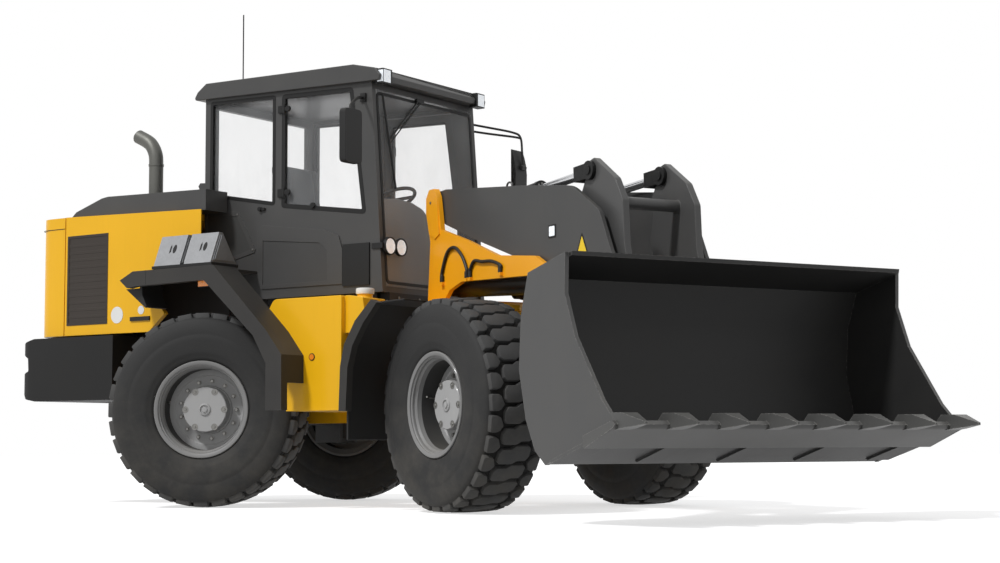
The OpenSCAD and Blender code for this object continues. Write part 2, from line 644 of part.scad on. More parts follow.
module bucket() color(grey) at_swing() {
  side(concat(shell_out, shell_in), -bucket_hw + 25, bucket_hw - 25);
  both() side(side_plate, bucket_hw - 25, bucket_hw);
  side([[3350, 430], [3640, 540], [3660, 560], [3630, 580], [3340, 500]], -bucket_hw - 25, bucket_hw + 25);
  for (i = [0:teeth - 1]) {
    translate([0, (i - (teeth - 1) / 2) * tooth_pitch, 0])
      intersection() {
        side([[3540, 585], [3620, 530], [3850, 558], [3850, 572], [3690, 622], [3580, 622]], -52, 52);
        plan([[3500, -46], [3690, -52], [3850, -8], [3850, 8], [3690, 52], [3500, 46]], 500, 700);
      }
  }
  // Wear bars under the floor
  for (i = [-2:2]) translate([0, i * wear_pitch, 0])
    side([[2960, 362], [3330, 467], [3318, 443], [2985, 349]], -85, 85);
  both() {
    // Hinge ears outside the boom plates, link ears beside the links
    side(rounded([[2655, 760, 0], [2560, 690, 60], [2410, 660, 80], [2400, 510, 80], [2540, 495, 60], [2700, 580, 0]]),
      boom_hw + 8, boom_hw + 48);
    pin(hinge_pin, 40, boom_hw - plate_t - 5, boom_hw + 8);
    for (y = [lever_y - 105, lever_y - 5]) side([[2646, 1120], [2560, 940], [2400, 900], [2395, 800], [2500, 770],
      [2650, 800], [2629, 888]], y, y + 40);
    for (y = [lever_y - 117, lever_y + 25]) pin(link_pin, 42, y, y + 22);
  }
}

module lift_barrels() color(black) at_swing() {
  u = unit([lift_eye[0] - lift_foot[0], 0, lift_eye[1] - lift_foot[1]]);
  foot = [lift_foot[0], lift_y, lift_foot[1]];
  both() difference() {
    union() {
      pin(lift_foot, 68, lift_y - 35, lift_y + 35);
      bar(foot + 50 * u, foot + 1240 * u, 75);
    }
    bore(lift_foot, 35);
    bar(foot + 100 * u, foot + 1300 * u, 35 + gap);
  }
}

module lift_rods() color(steel) at_swing() {
  u = unit([lift_eye[0] - lift_foot[0], 0, lift_eye[1] - lift_foot[1]]);
  eye = [lift_eye[0], lift_y, lift_eye[1]];
  both() {
    bar(eye - 1215 * u, eye - 40 * u, 35);
    pin(lift_eye, 62, lift_y - 40, lift_y + 40);
    pin(lift_eye, 40, lift_y - 55, lift_y - 30);
  }
}

module tilt_barrels() color(black) at_swing() {
  u = unit([tilt_pin[0] - tilt_foot[0], 0, tilt_pin[1] - tilt_foot[1]]);
  foot = [tilt_foot[0], tilt_y, tilt_foot[1]];
  both() difference() {
    union() {
      pin(tilt_foot, 52, tilt_y - 30, tilt_y + 30);
      bar(foot + 40 * u, foot + 1150 * u, 55);
    }
    bore(tilt_foot, 30);
    bar(foot + 90 * u, foot + 1200 * u, 30 + gap);
  }
}

module tilt_rods() color([0.85, 0.85, 0.85]) at_swing() {
  d = tilt_pin - tilt_foot;
  slot = lever_t / 2 + gap;
  both() translate([tilt_pin[0], tilt_y, tilt_pin[1]]) rotate([0, -atan2(d[1], d[0]), 0]) {
    translate([-1270, 0, 0]) rotate([0, 90, 0]) cylinder(r = 30, h = 1125);
    // Open fork: each cheek holds its own stub of the pin
    difference() {
      union() {
        rotate([90, 0, 0]) cylinder(r = 62, h = 106, center = true);
        block([-172, -52, -50], [0, 52, 50]);
        rotate([90, 0, 0]) cylinder(r = 31, h = 122, center = true);
      }
      block([-135, -slot, -80], [80, slot, 80]);
    }
  }
}

place() chassis_frame();
place() counterweight();
place() side_tanks();
place() fenders();
place() arch_liners();
place() wheel_chocks();
place() engine_block();
place() axles();
place() cab_shell();
place() cab_roof();
place() cab_glass();
place() cab_trim();
place() seat();
place() controls();
place() cab_lamps();
place() mirrors();
place() hood();
place() hood_cover();
place() exhaust();
place() rear_panel();
place() cab_door();
place() door_glass();
place() at_corner(0) knuckle();  // knuckle_rr
place() at_corner(1) knuckle();  // knuckle_rl
place() at_corner(2) knuckle();  // knuckle_fr
place() at_corner(3) knuckle();  // knuckle_fl
place() at_corner(0) rim();  // rim_rr
place() at_corner(1) rim();  // rim_rl
place() at_corner(2) rim();  // rim_fr
place() at_corner(3) rim();  // rim_fl
place() at_corner(0) tyre();  // tyre_rr
place() at_corner(1) tyre();  // tyre_rl
place() at_corner(2) tyre();  // tyre_fr
place() at_corner(3) tyre();  // tyre_fl
place() swing_tower();
place() tower_hoses();
place() boom();
place() tilt_levers();
place() tilt_links();
place() bucket();
place() lift_barrels();
place() lift_rods();
place() tilt_barrels();
place() tilt_rods();
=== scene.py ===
import json
import math

import bmesh
import bpy
from mathutils import Matrix, Vector


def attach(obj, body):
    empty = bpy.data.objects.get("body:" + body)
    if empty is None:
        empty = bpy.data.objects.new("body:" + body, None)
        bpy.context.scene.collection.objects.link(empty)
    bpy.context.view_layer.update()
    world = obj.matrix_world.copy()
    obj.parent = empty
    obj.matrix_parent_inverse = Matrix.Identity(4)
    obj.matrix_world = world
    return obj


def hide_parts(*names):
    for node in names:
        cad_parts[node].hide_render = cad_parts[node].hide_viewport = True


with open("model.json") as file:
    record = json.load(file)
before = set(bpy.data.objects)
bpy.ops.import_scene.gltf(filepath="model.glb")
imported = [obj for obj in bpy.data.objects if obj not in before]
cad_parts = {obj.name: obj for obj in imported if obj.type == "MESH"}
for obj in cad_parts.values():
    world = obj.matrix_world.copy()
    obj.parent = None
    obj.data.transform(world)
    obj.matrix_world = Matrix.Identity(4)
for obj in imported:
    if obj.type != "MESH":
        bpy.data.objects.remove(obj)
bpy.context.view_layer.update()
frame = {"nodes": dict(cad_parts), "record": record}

# Places are in metres from the middle of the rear axle on the ground, +X forward and +Y left
layout = {
    "rowShift": (-1.9797, 0.6426, 0.0),
    "wheelbase": 2.57,
    "kingpinY": 0.74,
    "kingpinOut": 0.28,
    "tyreR": 0.722,
    "tyreW": 0.52,
    "rimR": 0.358,
    "rearSteer": 27.0,
    "frontSteer": -23.0,
    "swingX": 1.944,
    "swingTurn": -26.0,
}
toRow = Matrix.Translation(layout["rowShift"])
toBoom = toRow @ Matrix.Translation((layout["swingX"], 0, 0)) @ Matrix.Rotation(
    math.radians(layout["swingTurn"]), 4, "Z")
wheels = [
    ("rr", 0.0, -1, layout["rearSteer"]),
    ("rl", 0.0, 1, layout["rearSteer"]),
    ("fr", layout["wheelbase"], -1, layout["frontSteer"]),
    ("fl", layout["wheelbase"], 1, layout["frontSteer"]),
]


def toWheel(x, side, steer):  # hub line along local Y, outer side at -Y
    return (toRow @ Matrix.Translation((x, side * layout["kingpinY"], layout["tyreR"]))
            @ Matrix.Rotation(math.radians(steer), 4, "Z") @ Matrix.Diagonal((1, -side, 1, 1))
            @ Matrix.Translation((0, -layout["kingpinOut"], 0)))


# Shader maths: an expression on Values adds its Math nodes
def srgb(r, g, b):
    def lin(c):
        c /= 255
        return c / 12.92 if c <= 0.04045 else ((c + 0.055) / 1.055) ** 2.4
    return (lin(r), lin(g), lin(b), 1.0)


def shade(colour, k):
    return (*[min(c * k, 1.0) for c in colour[:3]], 1.0)


class Value:
    def __init__(self, shader, socket):
        self.shader, self.socket = shader, socket

    def __add__(self, other):
        return self.shader.maths("ADD", self, other)

    def __sub__(self, other):
        return self.shader.maths("SUBTRACT", self, other)

    def __rsub__(self, other):
        return self.shader.maths("SUBTRACT", other, self)

    def __mul__(self, other):
        return self.shader.maths("MULTIPLY", self, other)

    def __pow__(self, other):
        return self.shader.maths("POWER", self, other)

    def __gt__(self, other):
        return self.shader.maths("GREATER_THAN", self, other)

    def __lt__(self, other):
        return self.shader.maths("LESS_THAN", self, other)

    __radd__ = __add__
    __rmul__ = __mul__

    def within(self, low, high):  # 0 at low, 1 at high, clamped
        return self.shader.node("ShaderNodeMapRange", {"clamp": True},
                                {"Value": self, "From Min": low, "From Max": high}, "Result")


class Shader:
    def __init__(self, name):
        self.material = bpy.data.materials.new(name)
        self.material.use_nodes = True
        self.tree = self.material.node_tree
        self.tree.nodes.clear()
        self.out = self.tree.nodes.new("ShaderNodeOutputMaterial")

    def node(self, kind, settings=None, values=None, out=0):
        n = self.tree.nodes.new(kind)
        for key, value in (settings or {}).items():
            if key == "stops":
                ramp = n.color_ramp.elements
                while len(ramp) < len(value):
                    ramp.new(0.5)
                for stop, (pos, level) in zip(ramp, value):
                    stop.position = pos
                    stop.color = level if isinstance(level, tuple) else (level, level, level, 1)
            else:
                setattr(n, key, value)
        for key, value in (values or {}).items():
            if isinstance(value, Value):
                self.tree.links.new(value.socket, n.inputs[key])
            elif value is not None:
                n.inputs[key].default_value = value
        return Value(self, n.outputs[out])

    def maths(self, operation, a, b):
        return self.node("ShaderNodeMath", {"operation": operation}, {0: a, 1: b})

    def coords(self, scale=(1, 1, 1)):
        place = self.node("ShaderNodeTexCoord", out="Object")
        return self.node("ShaderNodeMapping", {}, {"Vector": place, "Scale": scale})

    def noise(self, place, scale, detail=3.0, rough=0.5):
        return self.node("ShaderNodeTexNoise", {}, {
            "Vector": place, "Scale": scale, "Detail": detail, "Roughness": rough}, "Fac")

    def blend(self, a, b, fac):
        return self.node("ShaderNodeMix", {"data_type": "RGBA"}, {0: fac, 6: a, 7: b}, 2)

    def facing(self, axis):  # part of the true normal along an axis of the row
        normal = self.node("ShaderNodeNewGeometry", out="Normal")
        split = self.tree.nodes.new("ShaderNodeSeparateXYZ")
        self.tree.links.new(normal.socket, split.inputs[0])
        return Value(self, split.outputs[axis])

    def height(self):
        place = self.node("ShaderNodeTexCoord", out="Object")
        split = self.tree.nodes.new("ShaderNodeSeparateXYZ")
        self.tree.links.new(place.socket, split.inputs[0])
        return Value(self, split.outputs[2])

    def edges(self, radius, low=0.01, high=0.12):  # worn outer edges, from a rounded normal
        bevelled = self.node("ShaderNodeBevel", {"samples": 3}, {"Radius": radius}, "Normal")
        normal = self.node("ShaderNodeNewGeometry", out="Normal")
        dot = self.node("ShaderNodeVectorMath", {"operation": "DOT_PRODUCT"}, {0: bevelled, 1: normal}, "Value")
        return (1 - dot).within(low, high)

    def bump(self, height, strength, distance=0.002):
        return self.node("ShaderNodeBump", {}, {
            "Height": height, "Strength": strength, "Distance": distance}, "Normal")

    def principled(self, **values):
        names = {"colour": "Base Color", "rough": "Roughness", "metal": "Metallic", "coat": "Coat Weight",
                 "coatRough": "Coat Roughness", "alpha": "Alpha", "normal": "Normal", "ior": "IOR",
                 "clear": "Transmission Weight", "glow": "Emission Color", "glowStrength": "Emission Strength",
                 "sheen": "Sheen Weight", "sheenRough": "Sheen Roughness", "specular": "Specular IOR Level"}
        shader = self.node("ShaderNodeBsdfPrincipled", {}, {names[k]: v for k, v in values.items()}, "BSDF")
        self.tree.links.new(shader.socket, self.out.inputs["Surface"])
        return self.material


# Painted finishes: colour, roughness, coat, dust on flat tops, worn edges, casting grain
paints = {
    "bodyYellow": ((246, 186, 12), 0.36, 0.12, 0.10, 0.10, 0.0),
    "towerOrange": ((255, 172, 18), 0.34, 0.15, 0.06, 0.12, 0.0),
    "darkPaint": ((68, 68, 68), 0.46, 0.10, 0.16, 0.22, 0.05),
    "bucketPaint": ((74, 74, 74), 0.42, 0.06, 0.16, 0.75, 0.06),
    # the bucket's inside is a darker copy of its paint: painted shade
    "bucketInsideShaded": ((42, 42, 42), 0.5, 0.0, 0.10, 0.6, 0.1),
    "toothSteel": ((80, 80, 79), 0.4, 0.0, 0.10, 1.0, 0.1),
    "castBlack": ((9, 9, 9), 0.6, 0.0, 0.05, 0.06, 0.5),
    "rimGrey": ((134, 134, 134), 0.42, 0.12, 0.30, 0.25, 0.05),
    # the wheel disc is a lighter copy of the rim's paint: painted light against its shading in the recess
    "discLitGrey": ((172, 172, 172), 0.42, 0.1, 0.25, 0.3, 0.08),
    # the rim's inner barrel is near black: painted shade in the gap between rim and disc
    "recessShadeGrey": ((52, 52, 52), 0.5, 0.0, 0.2, 0.1, 0.1),
    "engineGrey": ((66, 66, 66), 0.55, 0.0, 0.2, 0.1, 0.3),
    "axleGrey": ((58, 58, 58), 0.55, 0.0, 0.25, 0.1, 0.5),
    "hornGrey": ((76, 76, 76), 0.45, 0.1, 0.14, 0.3, 0.05),
    "fenderGrey": ((46, 45, 44), 0.55, 0.0, 0.2, 0.12, 0.25),
}


def paintFinish(name, colour, rough, coat, dust, wear, grain):
    s = Shader(name)
    place = s.coords()
    mottle = s.noise(place, 2.2, 4)
    speck = s.noise(place, 46, 6, 0.7)
    streak = s.noise(s.coords((9, 9, 0.9)), 3.0, 5, 0.6)
    worn = s.edges(0.006) * (speck.within(0.42, 0.62)) * wear
    dusty = (s.facing(2).within(0.35, 1.0) * 0.8 + 0.2) * mottle.within(0.35, 0.75) * dust
    runs = streak.within(0.55, 0.8) * (dust * 0.6)
    tone = s.blend(shade(colour, 0.93), shade(colour, 1.06), mottle)
    tone = s.blend(tone, srgb(150, 142, 128), dusty)
    tone = s.blend(tone, shade(colour, 0.55), runs)
    tone = s.blend(tone, srgb(158, 156, 152), worn)
    roughness = rough + (mottle - 0.5) * 0.12 + dusty * 0.5
    fine = s.noise(place, 900 if grain < 0.2 else 240, 2)
    normal = s.bump(fine, 0.05 + 0.5 * grain, 0.001 + 0.002 * grain)
    return s.principled(colour=tone, rough=roughness, coat=coat, coatRough=0.12, normal=normal, specular=0.28)


def rubberFinish(name, colour, rough, dust, ringed=False):
    s = Shader(name)
    place = s.coords()
    mottle = s.noise(place, 5.0, 5, 0.6)
    scuff = s.noise(place, 60, 5, 0.7)
    low = (0.5 - s.height()).within(-0.6, 0.5) if ringed else 0.4
    film = mottle.within(0.38, 0.75) * low * dust + scuff.within(0.6, 0.75) * (0.4 * dust)
    tone = s.blend(shade(colour, 0.85), shade(colour, 1.25), mottle)
    tone = s.blend(tone, srgb(122, 117, 108), film)
    normal = s.bump(s.noise(place, 420, 3), 0.18, 0.0012)
    return s.principled(colour=tone, rough=rough + film * 0.4, normal=normal, specular=0.35)


def metalFinish(name, colour, rough, flake=0.0, grain=0.03):
    s = Shader(name)
    place = s.coords()
    mottle = s.noise(place, 7.0, 4)
    tone = s.blend(shade(colour, 0.86), shade(colour, 1.08), mottle)
    if flake:  # zinc spangle
        cells = s.node("ShaderNodeTexVoronoi", {"feature": "F1"}, {"Vector": place, "Scale": 70.0}, "Color")
        grey = s.node("ShaderNodeRGBToBW", {}, {"Color": cells}, "Val")
        tone = s.blend(tone, shade(colour, 1.25), grey * flake)
    roughness = rough + (s.noise(place, 28, 4) - 0.5) * 0.16
    return s.principled(colour=tone, rough=roughness, metal=0.85, normal=s.bump(s.noise(place, 500, 2), grain, 0.001))


def plasticFinish(name, colour, rough, grain=0.25):
    s = Shader(name)
    place = s.coords()
    mottle = s.noise(place, 3.0, 4)
    dusty = s.facing(2).within(0.4, 1.0) * mottle.within(0.4, 0.8) * 0.25
    tone = s.blend(s.blend(shade(colour, 0.9), shade(colour, 1.12), mottle), srgb(120, 115, 106), dusty)
    return s.principled(colour=tone, rough=rough + dusty * 0.3, specular=0.3,
                        normal=s.bump(s.noise(place, 380, 2), grain, 0.001))


def glassFinish(name, colour, reflectionVeil):
    s = Shader(name)
    # a pale, partly opaque coat lies on the glass: painted reflection of the white surroundings, thicker where smudges
    # are
    smear = s.noise(s.coords((1, 1, 0.5)), 2.5, 4, 0.6)
    alpha = reflectionVeil + smear.within(0.4, 0.8) * 0.05
    return s.principled(colour=colour, rough=0.04, alpha=alpha, specular=0.6, ior=1.5)


def lensFinish(name, colour, glow, cell):
    s = Shader(name)
    place = s.coords()
    ribs = s.node("ShaderNodeTexVoronoi", {"feature": "F1"}, {"Vector": place, "Scale": cell}, "Distance")
    tone = s.blend(shade(colour, 0.72), shade(colour, 1.1), ribs.within(0.1, 0.6))
    # each lens glows a little though its lamp is off, the reflectors too: painted light
    return s.principled(colour=tone, rough=0.12, coat=0.8, glow=shade(colour, 1.0), glowStrength=glow,
                        normal=s.bump(ribs, 0.5, 0.002))


def fabricFinish(name, colour):
    s = Shader(name)
    place = s.coords((1, 1, 1))
    warp = s.node("ShaderNodeTexWave", {"wave_type": "BANDS", "bands_direction": "X"},
                  {"Vector": place, "Scale": 90.0, "Distortion": 0.6}, "Fac")
    weft = s.node("ShaderNodeTexWave", {"wave_type": "BANDS", "bands_direction": "Z"},
                  {"Vector": place, "Scale": 90.0, "Distortion": 0.6}, "Fac")
    weave = warp * weft
    mottle = s.noise(place, 9.0, 4)
    tone = s.blend(shade(colour, 0.7), shade(colour, 1.3), weave * 0.6 + mottle * 0.4)
    return s.principled(colour=tone, rough=0.88, sheen=0.3, sheenRough=0.5, normal=s.bump(weave, 0.35, 0.0015))


def meshFinish(name, colour, cell):  # dark wire mesh
    s = Shader(name)
    place = s.coords()
    holes = s.node("ShaderNodeTexVoronoi", {"feature": "F1"}, {
        "Vector": place, "Scale": cell, "Randomness": 0.0}, "Distance").within(0.30, 0.42)
    wire = s.blend(shade(colour, 0.8), shade(colour, 1.15), s.noise(place, 4.0, 4))
    # the holes are near black: painted shade of the space behind the mesh
    tone = s.blend(shade(colour, 0.25), wire, holes)
    return s.principled(colour=tone, rough=0.6, normal=s.bump(holes, 0.4, 0.001))


look = {name: paintFinish(name, srgb(*colour), *rest) for name, (colour, *rest) in paints.items()}
others = [
    (rubberFinish, "tyreRubber", (38, 38, 38), 0.72, 0.30, True),
    (rubberFinish, "treadRubber", (66, 66, 66), 0.74, 0.42, True),
    (rubberFinish, "grooveRubber", (16, 16, 16), 0.85, 0.15),
    (rubberFinish, "hoseRubber", (24, 24, 24), 0.42, 0.12),
    (plasticFinish, "blackPlastic", (22, 22, 22), 0.55),
    (plasticFinish, "linerPlastic", (30, 30, 30), 0.62, 0.4),
    (plasticFinish, "sealRubber", (18, 18, 18), 0.6, 0.1),
    (plasticFinish, "grilleBrown", (52, 46, 41), 0.6, 0.1),
    (plasticFinish, "insetGrey", (66, 66, 66), 0.62, 0.6),
    (plasticFinish, "consoleGrey", (118, 118, 118), 0.55, 0.1),
    (meshFinish, "meshGrey", (56, 56, 55), 150.0),
    (metalFinish, "blackMetal", (44, 44, 44), 0.42),
    (metalFinish, "galvanised", (142, 143, 145), 0.46, 0.35),
    (metalFinish, "chromeRod", (205, 206, 208), 0.12, 0.0, 0.0),
    (metalFinish, "boltSteel", (128, 127, 124), 0.4, 0.1),
    (metalFinish, "mirrorGlass", (214, 218, 222), 0.05, 0.0, 0.0),
    (metalFinish, "stackPaint", (100, 100, 96), 0.52, 0.1),
    (glassFinish, "clearGlass", (246, 248, 250), 0.06),
    (lensFinish, "headLens", (226, 231, 236), 0.42, 55),
    (lensFinish, "amberLens", (245, 140, 20), 0.15, 80),
    (lensFinish, "redLens", (170, 20, 16), 0.08, 80),
    (plasticFinish, "discWhite", (232, 232, 230), 0.4, 0.02),
    (plasticFinish, "signYellow", (244, 206, 40), 0.4, 0.02),
    (plasticFinish, "capOrange", (242, 140, 34), 0.4, 0.02),
    (fabricFinish, "seatFabric", (70, 72, 76)),
]
for finish, name, colour, *rest in others:
    look[name] = finish(name, srgb(*colour), *rest)
print("finishes made:", len(look))


# Mesh building
def roundOff(outline, radius, steps=4):  # fillets every corner of a closed outline
    out = []
    for i, b in enumerate(outline):
        a, c = Vector(outline[i - 1][:2]), Vector(outline[(i + 1) % len(outline)][:2])
        r = b[2] if len(b) > 2 else radius
        b = Vector(b[:2])
        u, v = (a - b).normalized(), (c - b).normalized()
        turn = u.angle(v)
        if r <= 0 or turn > math.radians(176):
            out.append(tuple(b))
            continue
        reach = min(r / math.tan(turn / 2), 0.45 * (a - b).length, 0.45 * (c - b).length)
        p, q = b + u * reach, b + v * reach
        for k in range(steps + 1):
            t = k / steps
            out.append(tuple((1 - t) ** 2 * p + 2 * t * (1 - t) * b + t * t * q))
    return out


planes = {"xz": (0, 2, 1), "xy": (0, 1, 2), "yz": (1, 2, 0)}


def prism(bm, outline, low, high, plane="xz"):
    a, b, c = planes[plane]
    rings = []
    for level in (low, high):
        ring = []
        for p in outline:
            co = [0.0, 0.0, 0.0]
            co[a], co[b], co[c] = p[0], p[1], level
            ring.append(bm.verts.new(co))
        rings.append(ring)
    n = len(outline)
    faces = [bm.faces.new(rings[0]), bm.faces.new(rings[1][::-1])]
    faces += [bm.faces.new((rings[0][i], rings[1][i], rings[1][(i + 1) % n], rings[0][(i + 1) % n])) for i in range(n)]
    return faces


def block(bm, low, high):
    return prism(bm, [(low[0], low[2]), (high[0], low[2]), (high[0], high[2]), (low[0], high[2])], low[1], high[1])


def frameTo(direction):  # turns +Z to a direction
    return Vector((0, 0, 1)).rotation_difference(Vector(direction).normalized()).to_matrix().to_4x4()


def lathe(bm, profile, place, axis=(0, -1, 0), steps=64, paint=None):  # profile of (radius, along the axis)
    turn = Matrix.Translation(place) @ frameTo(axis)
    rings = []
    for r, h in profile:
        if r < 1e-6:
            rings.append([bm.verts.new(turn @ Vector((0, 0, h)))])
        else:
            rings.append([bm.verts.new(turn @ Vector((r * math.cos(2 * math.pi * k / steps),
                                                      r * math.sin(2 * math.pi * k / steps), h)))
                          for k in range(steps)])
    for i, (one, two) in enumerate(zip(rings, rings[1:])):
        for k in range(steps):
            j = (k + 1) % steps
            corners = [one[k % len(one)], one[j % len(one)], two[j % len(two)], two[k % len(two)]]
            unique = list(dict.fromkeys(corners))
            if len(unique) > 2:
                bm.faces.new(unique).material_index = paint[i] if paint else 0
    return rings


def rod(bm, a, b, radius, steps=16):
    a, b = Vector(a), Vector(b)
    lathe(bm, [(0, 0), (radius, 0), (radius, (b - a).length), (0, (b - a).length)], a, b - a, steps)


def smoothPath(points, n=8):
    points = [Vector(p) for p in points]
    out = []
    for i in range(len(points) - 1):
        a, b, c, d = points[max(i - 1, 0)], points[i], points[i + 1], points[min(i + 2, len(points) - 1)]
        for k in range(n):
            t = k / n
            out.append(0.5 * (2 * b + (c - a) * t + (2 * a - 5 * b + 4 * c - d) * t * t
                              + (3 * b - a - 3 * c + d) * t ** 3))
    return out + [points[-1]]


def sweep(bm, path, radius, sides=12):
    path = [Vector(p) for p in path]
    normal, rings = None, []
    for i, p in enumerate(path):
        along = (path[min(i + 1, len(path) - 1)] - path[max(i - 1, 0)]).normalized()
        if normal is None:
            normal = along.orthogonal().normalized()
        normal = (normal - along * normal.dot(along)).normalized()
        side = along.cross(normal)
        r = radius[i] if isinstance(radius, list) else radius
        rings.append([bm.verts.new(p + r * (math.cos(2 * math.pi * k / sides) * normal
                                            + math.sin(2 * math.pi * k / sides) * side)) for k in range(sides)])
    for one, two in zip(rings, rings[1:]):
        for k in range(sides):
            bm.faces.new((one[k], one[(k + 1) % sides], two[(k + 1) % sides], two[k]))
    bm.faces.new(rings[0][::-1])
    bm.faces.new(rings[-1])


def toObject(name, bm, materials, matrix=toRow, sharp=32.0, merge=1e-5):
    bmesh.ops.remove_doubles(bm, verts=bm.verts, dist=merge)
    bmesh.ops.transform(bm, matrix=matrix, verts=bm.verts)
    bmesh.ops.recalc_face_normals(bm, faces=bm.faces)
    for f in bm.faces:
        f.smooth = True
    for e in bm.edges:
        e.smooth = len(e.link_faces) == 2 and e.calc_face_angle(0) < math.radians(sharp)
    mesh = bpy.data.meshes.new(name)
    bm.to_mesh(mesh)
    bm.free()
    for m in materials if isinstance(materials, (list, tuple)) else [materials]:
        mesh.materials.append(look[m])
    obj = bpy.data.objects.new(name, mesh)
    bpy.context.scene.collection.objects.link(obj)
    return obj


def soften(obj, width, segments=2, angle=32.0):
    m = obj.modifiers.new("edges", "BEVEL")
    m.width, m.segments, m.limit_method, m.angle_limit = width, segments, "ANGLE", math.radians(angle)
    m.harden_normals, m.miter_outer, m.use_clamp_overlap = True, "MITER_SHARP", True
    return obj


def settle(obj, body, nodes=()):  # the piece rides on its body, and the CAD parts it replaces are hidden
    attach(obj, body)
    if nodes:
        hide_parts(*nodes)
    return obj


def bodyOf(node):
    return next(name for name, held in frame["record"]["behaviour"]["bodies"].items() if node in held)


def dress(node, material, width=0.004, sharp=32.0, chooser=None):
    # A copy of a CAD node with its loose triangles joined, flats cleared and edges rounded
    bm = bmesh.new()
    bm.from_mesh(frame["nodes"][node].data)
    bmesh.ops.remove_doubles(bm, verts=bm.verts, dist=2e-5)
    bmesh.ops.dissolve_limit(bm, angle_limit=math.radians(0.6), verts=bm.verts, edges=bm.edges)
    if chooser:
        back = toRow.inverted()
        for f in bm.faces:
            f.material_index = chooser(back @ f.calc_center_median(), f.normal, f)
    obj = toObject(node + "_dressed", bm, material, Matrix.Identity(4), sharp)
    if width:
        soften(obj, width)
    return settle(obj, bodyOf(node), [node])


# Repeats in Geometry Nodes
def arrayTree(name, round_):
    tree = bpy.data.node_groups.new(name, "GeometryNodeTree")
    for way, title, kind in (("INPUT", "Geometry", "Geometry"), ("INPUT", "Count", "Int"), ("INPUT", "Step", "Vector"),
                             ("INPUT", "Centre", "Vector"), ("INPUT", "Material", "Material"),
                             ("OUTPUT", "Geometry", "Geometry")):
        tree.interface.new_socket(title, in_out=way, socket_type="NodeSocket" + kind)
    new, link = tree.nodes.new, tree.links.new
    given, done = new("NodeGroupInput"), new("NodeGroupOutput")
    line, copies = new("GeometryNodeMeshLine"), new("GeometryNodeInstanceOnPoints")
    index, scale = new("GeometryNodeInputIndex"), new("ShaderNodeVectorMath")
    scale.operation = "SCALE"
    link(given.outputs["Count"], line.inputs["Count"])
    line.inputs["Offset"].default_value = (0, 0, 0)
    link(given.outputs["Step"], scale.inputs[0])
    link(index.outputs[0], scale.inputs["Scale"])
    shift = new("GeometryNodeTransform")  # brings the pattern's centre to the origin
    minus = new("ShaderNodeVectorMath")
    minus.operation = "SCALE"
    minus.inputs["Scale"].default_value = -1
    link(given.outputs["Centre"], minus.inputs[0])
    link(given.outputs["Geometry"], shift.inputs["Geometry"])
    link(minus.outputs[0], shift.inputs["Translation"])
    link(line.outputs["Mesh"], copies.inputs["Points"])
    link(shift.outputs[0], copies.inputs["Instance"])
    last = copies
    if round_:
        link(scale.outputs[0], copies.inputs["Rotation"])
    else:
        moved = new("GeometryNodeTranslateInstances")
        link(copies.outputs[0], moved.inputs["Instances"])
        link(scale.outputs[0], moved.inputs["Translation"])
        last = moved
    real, back = new("GeometryNodeRealizeInstances"), new("GeometryNodeTransform")
    paint = new("GeometryNodeSetMaterial")
    link(last.outputs[0], real.inputs[0])
    link(real.outputs[0], back.inputs["Geometry"])
    link(given.outputs["Centre"], back.inputs["Translation"])
    link(back.outputs[0], paint.inputs["Geometry"])
    link(given.outputs["Material"], paint.inputs["Material"])
    link(paint.outputs[0], done.inputs[0])
    return tree


trees = {"round": arrayTree("roundArray", True), "line": arrayTree("lineArray", False)}


def repeat(obj, kind, count, step, centre=(0, 0, 0)):
    # step is a turn in radians for "round", a shift in metres for "line"; returns a plain mesh
    tree = trees[kind]
    m = obj.modifiers.new("repeat", "NODES")
    m.node_group = tree
    ids = {s.name: s.identifier for s in tree.interface.items_tree if s.in_out == "INPUT"}
    m[ids["Count"]], m[ids["Step"]], m[ids["Centre"]] = count, step, centre
    m[ids["Material"]] = obj.data.materials[0]
    evaluated = obj.evaluated_get(bpy.context.evaluated_depsgraph_get())
    mesh = bpy.data.meshes.new_from_object(evaluated)
    obj.modifiers.remove(m)
    obj.data = mesh
    return obj


def place(obj, matrix):  # puts a finished local piece in the row frame, in its mesh
    obj.data.transform(matrix)
    if matrix.determinant() < 0:
        obj.data.flip_normals()
    return obj


def merged(name, objects):
    bm = bmesh.new()
    slots = []
    for o in objects:
        first = len(bm.faces)
        bm.from_mesh(o.data)
        names = [m for m in o.data.materials]
        for m in names:
            if m not in slots:
                slots.append(m)
        bm.faces.ensure_lookup_table()
        for f in bm.faces[first:]:
            f.material_index = slots.index(names[f.material_index])
        bpy.data.objects.remove(o)
    mesh = bpy.data.meshes.new(name)
    bm.to_mesh(mesh)
    bm.free()
    for m in slots:
        mesh.materials.append(m)
    obj = bpy.data.objects.new(name, mesh)
    bpy.context.scene.collection.objects.link(obj)
    return obj


def grow(outline, d):  # moves every side of a closed outline outwards by d
    n = len(outline)
    turn = sum(outline[i - 1][0] * outline[i][1] - outline[i][0] * outline[i - 1][1] for i in range(n))
    side, out = math.copysign(1, turn), []
    for i in range(n):
        a, b, c = (Vector(outline[(i + k) % n][:2]) for k in (-1, 0, 1))
        u, v = (b - a).normalized(), (c - b).normalized()
        m = Vector((u.y + v.y, -u.x - v.x)) * side
        out.append(tuple(b + m * (2 * d / m.length_squared)))
    return out


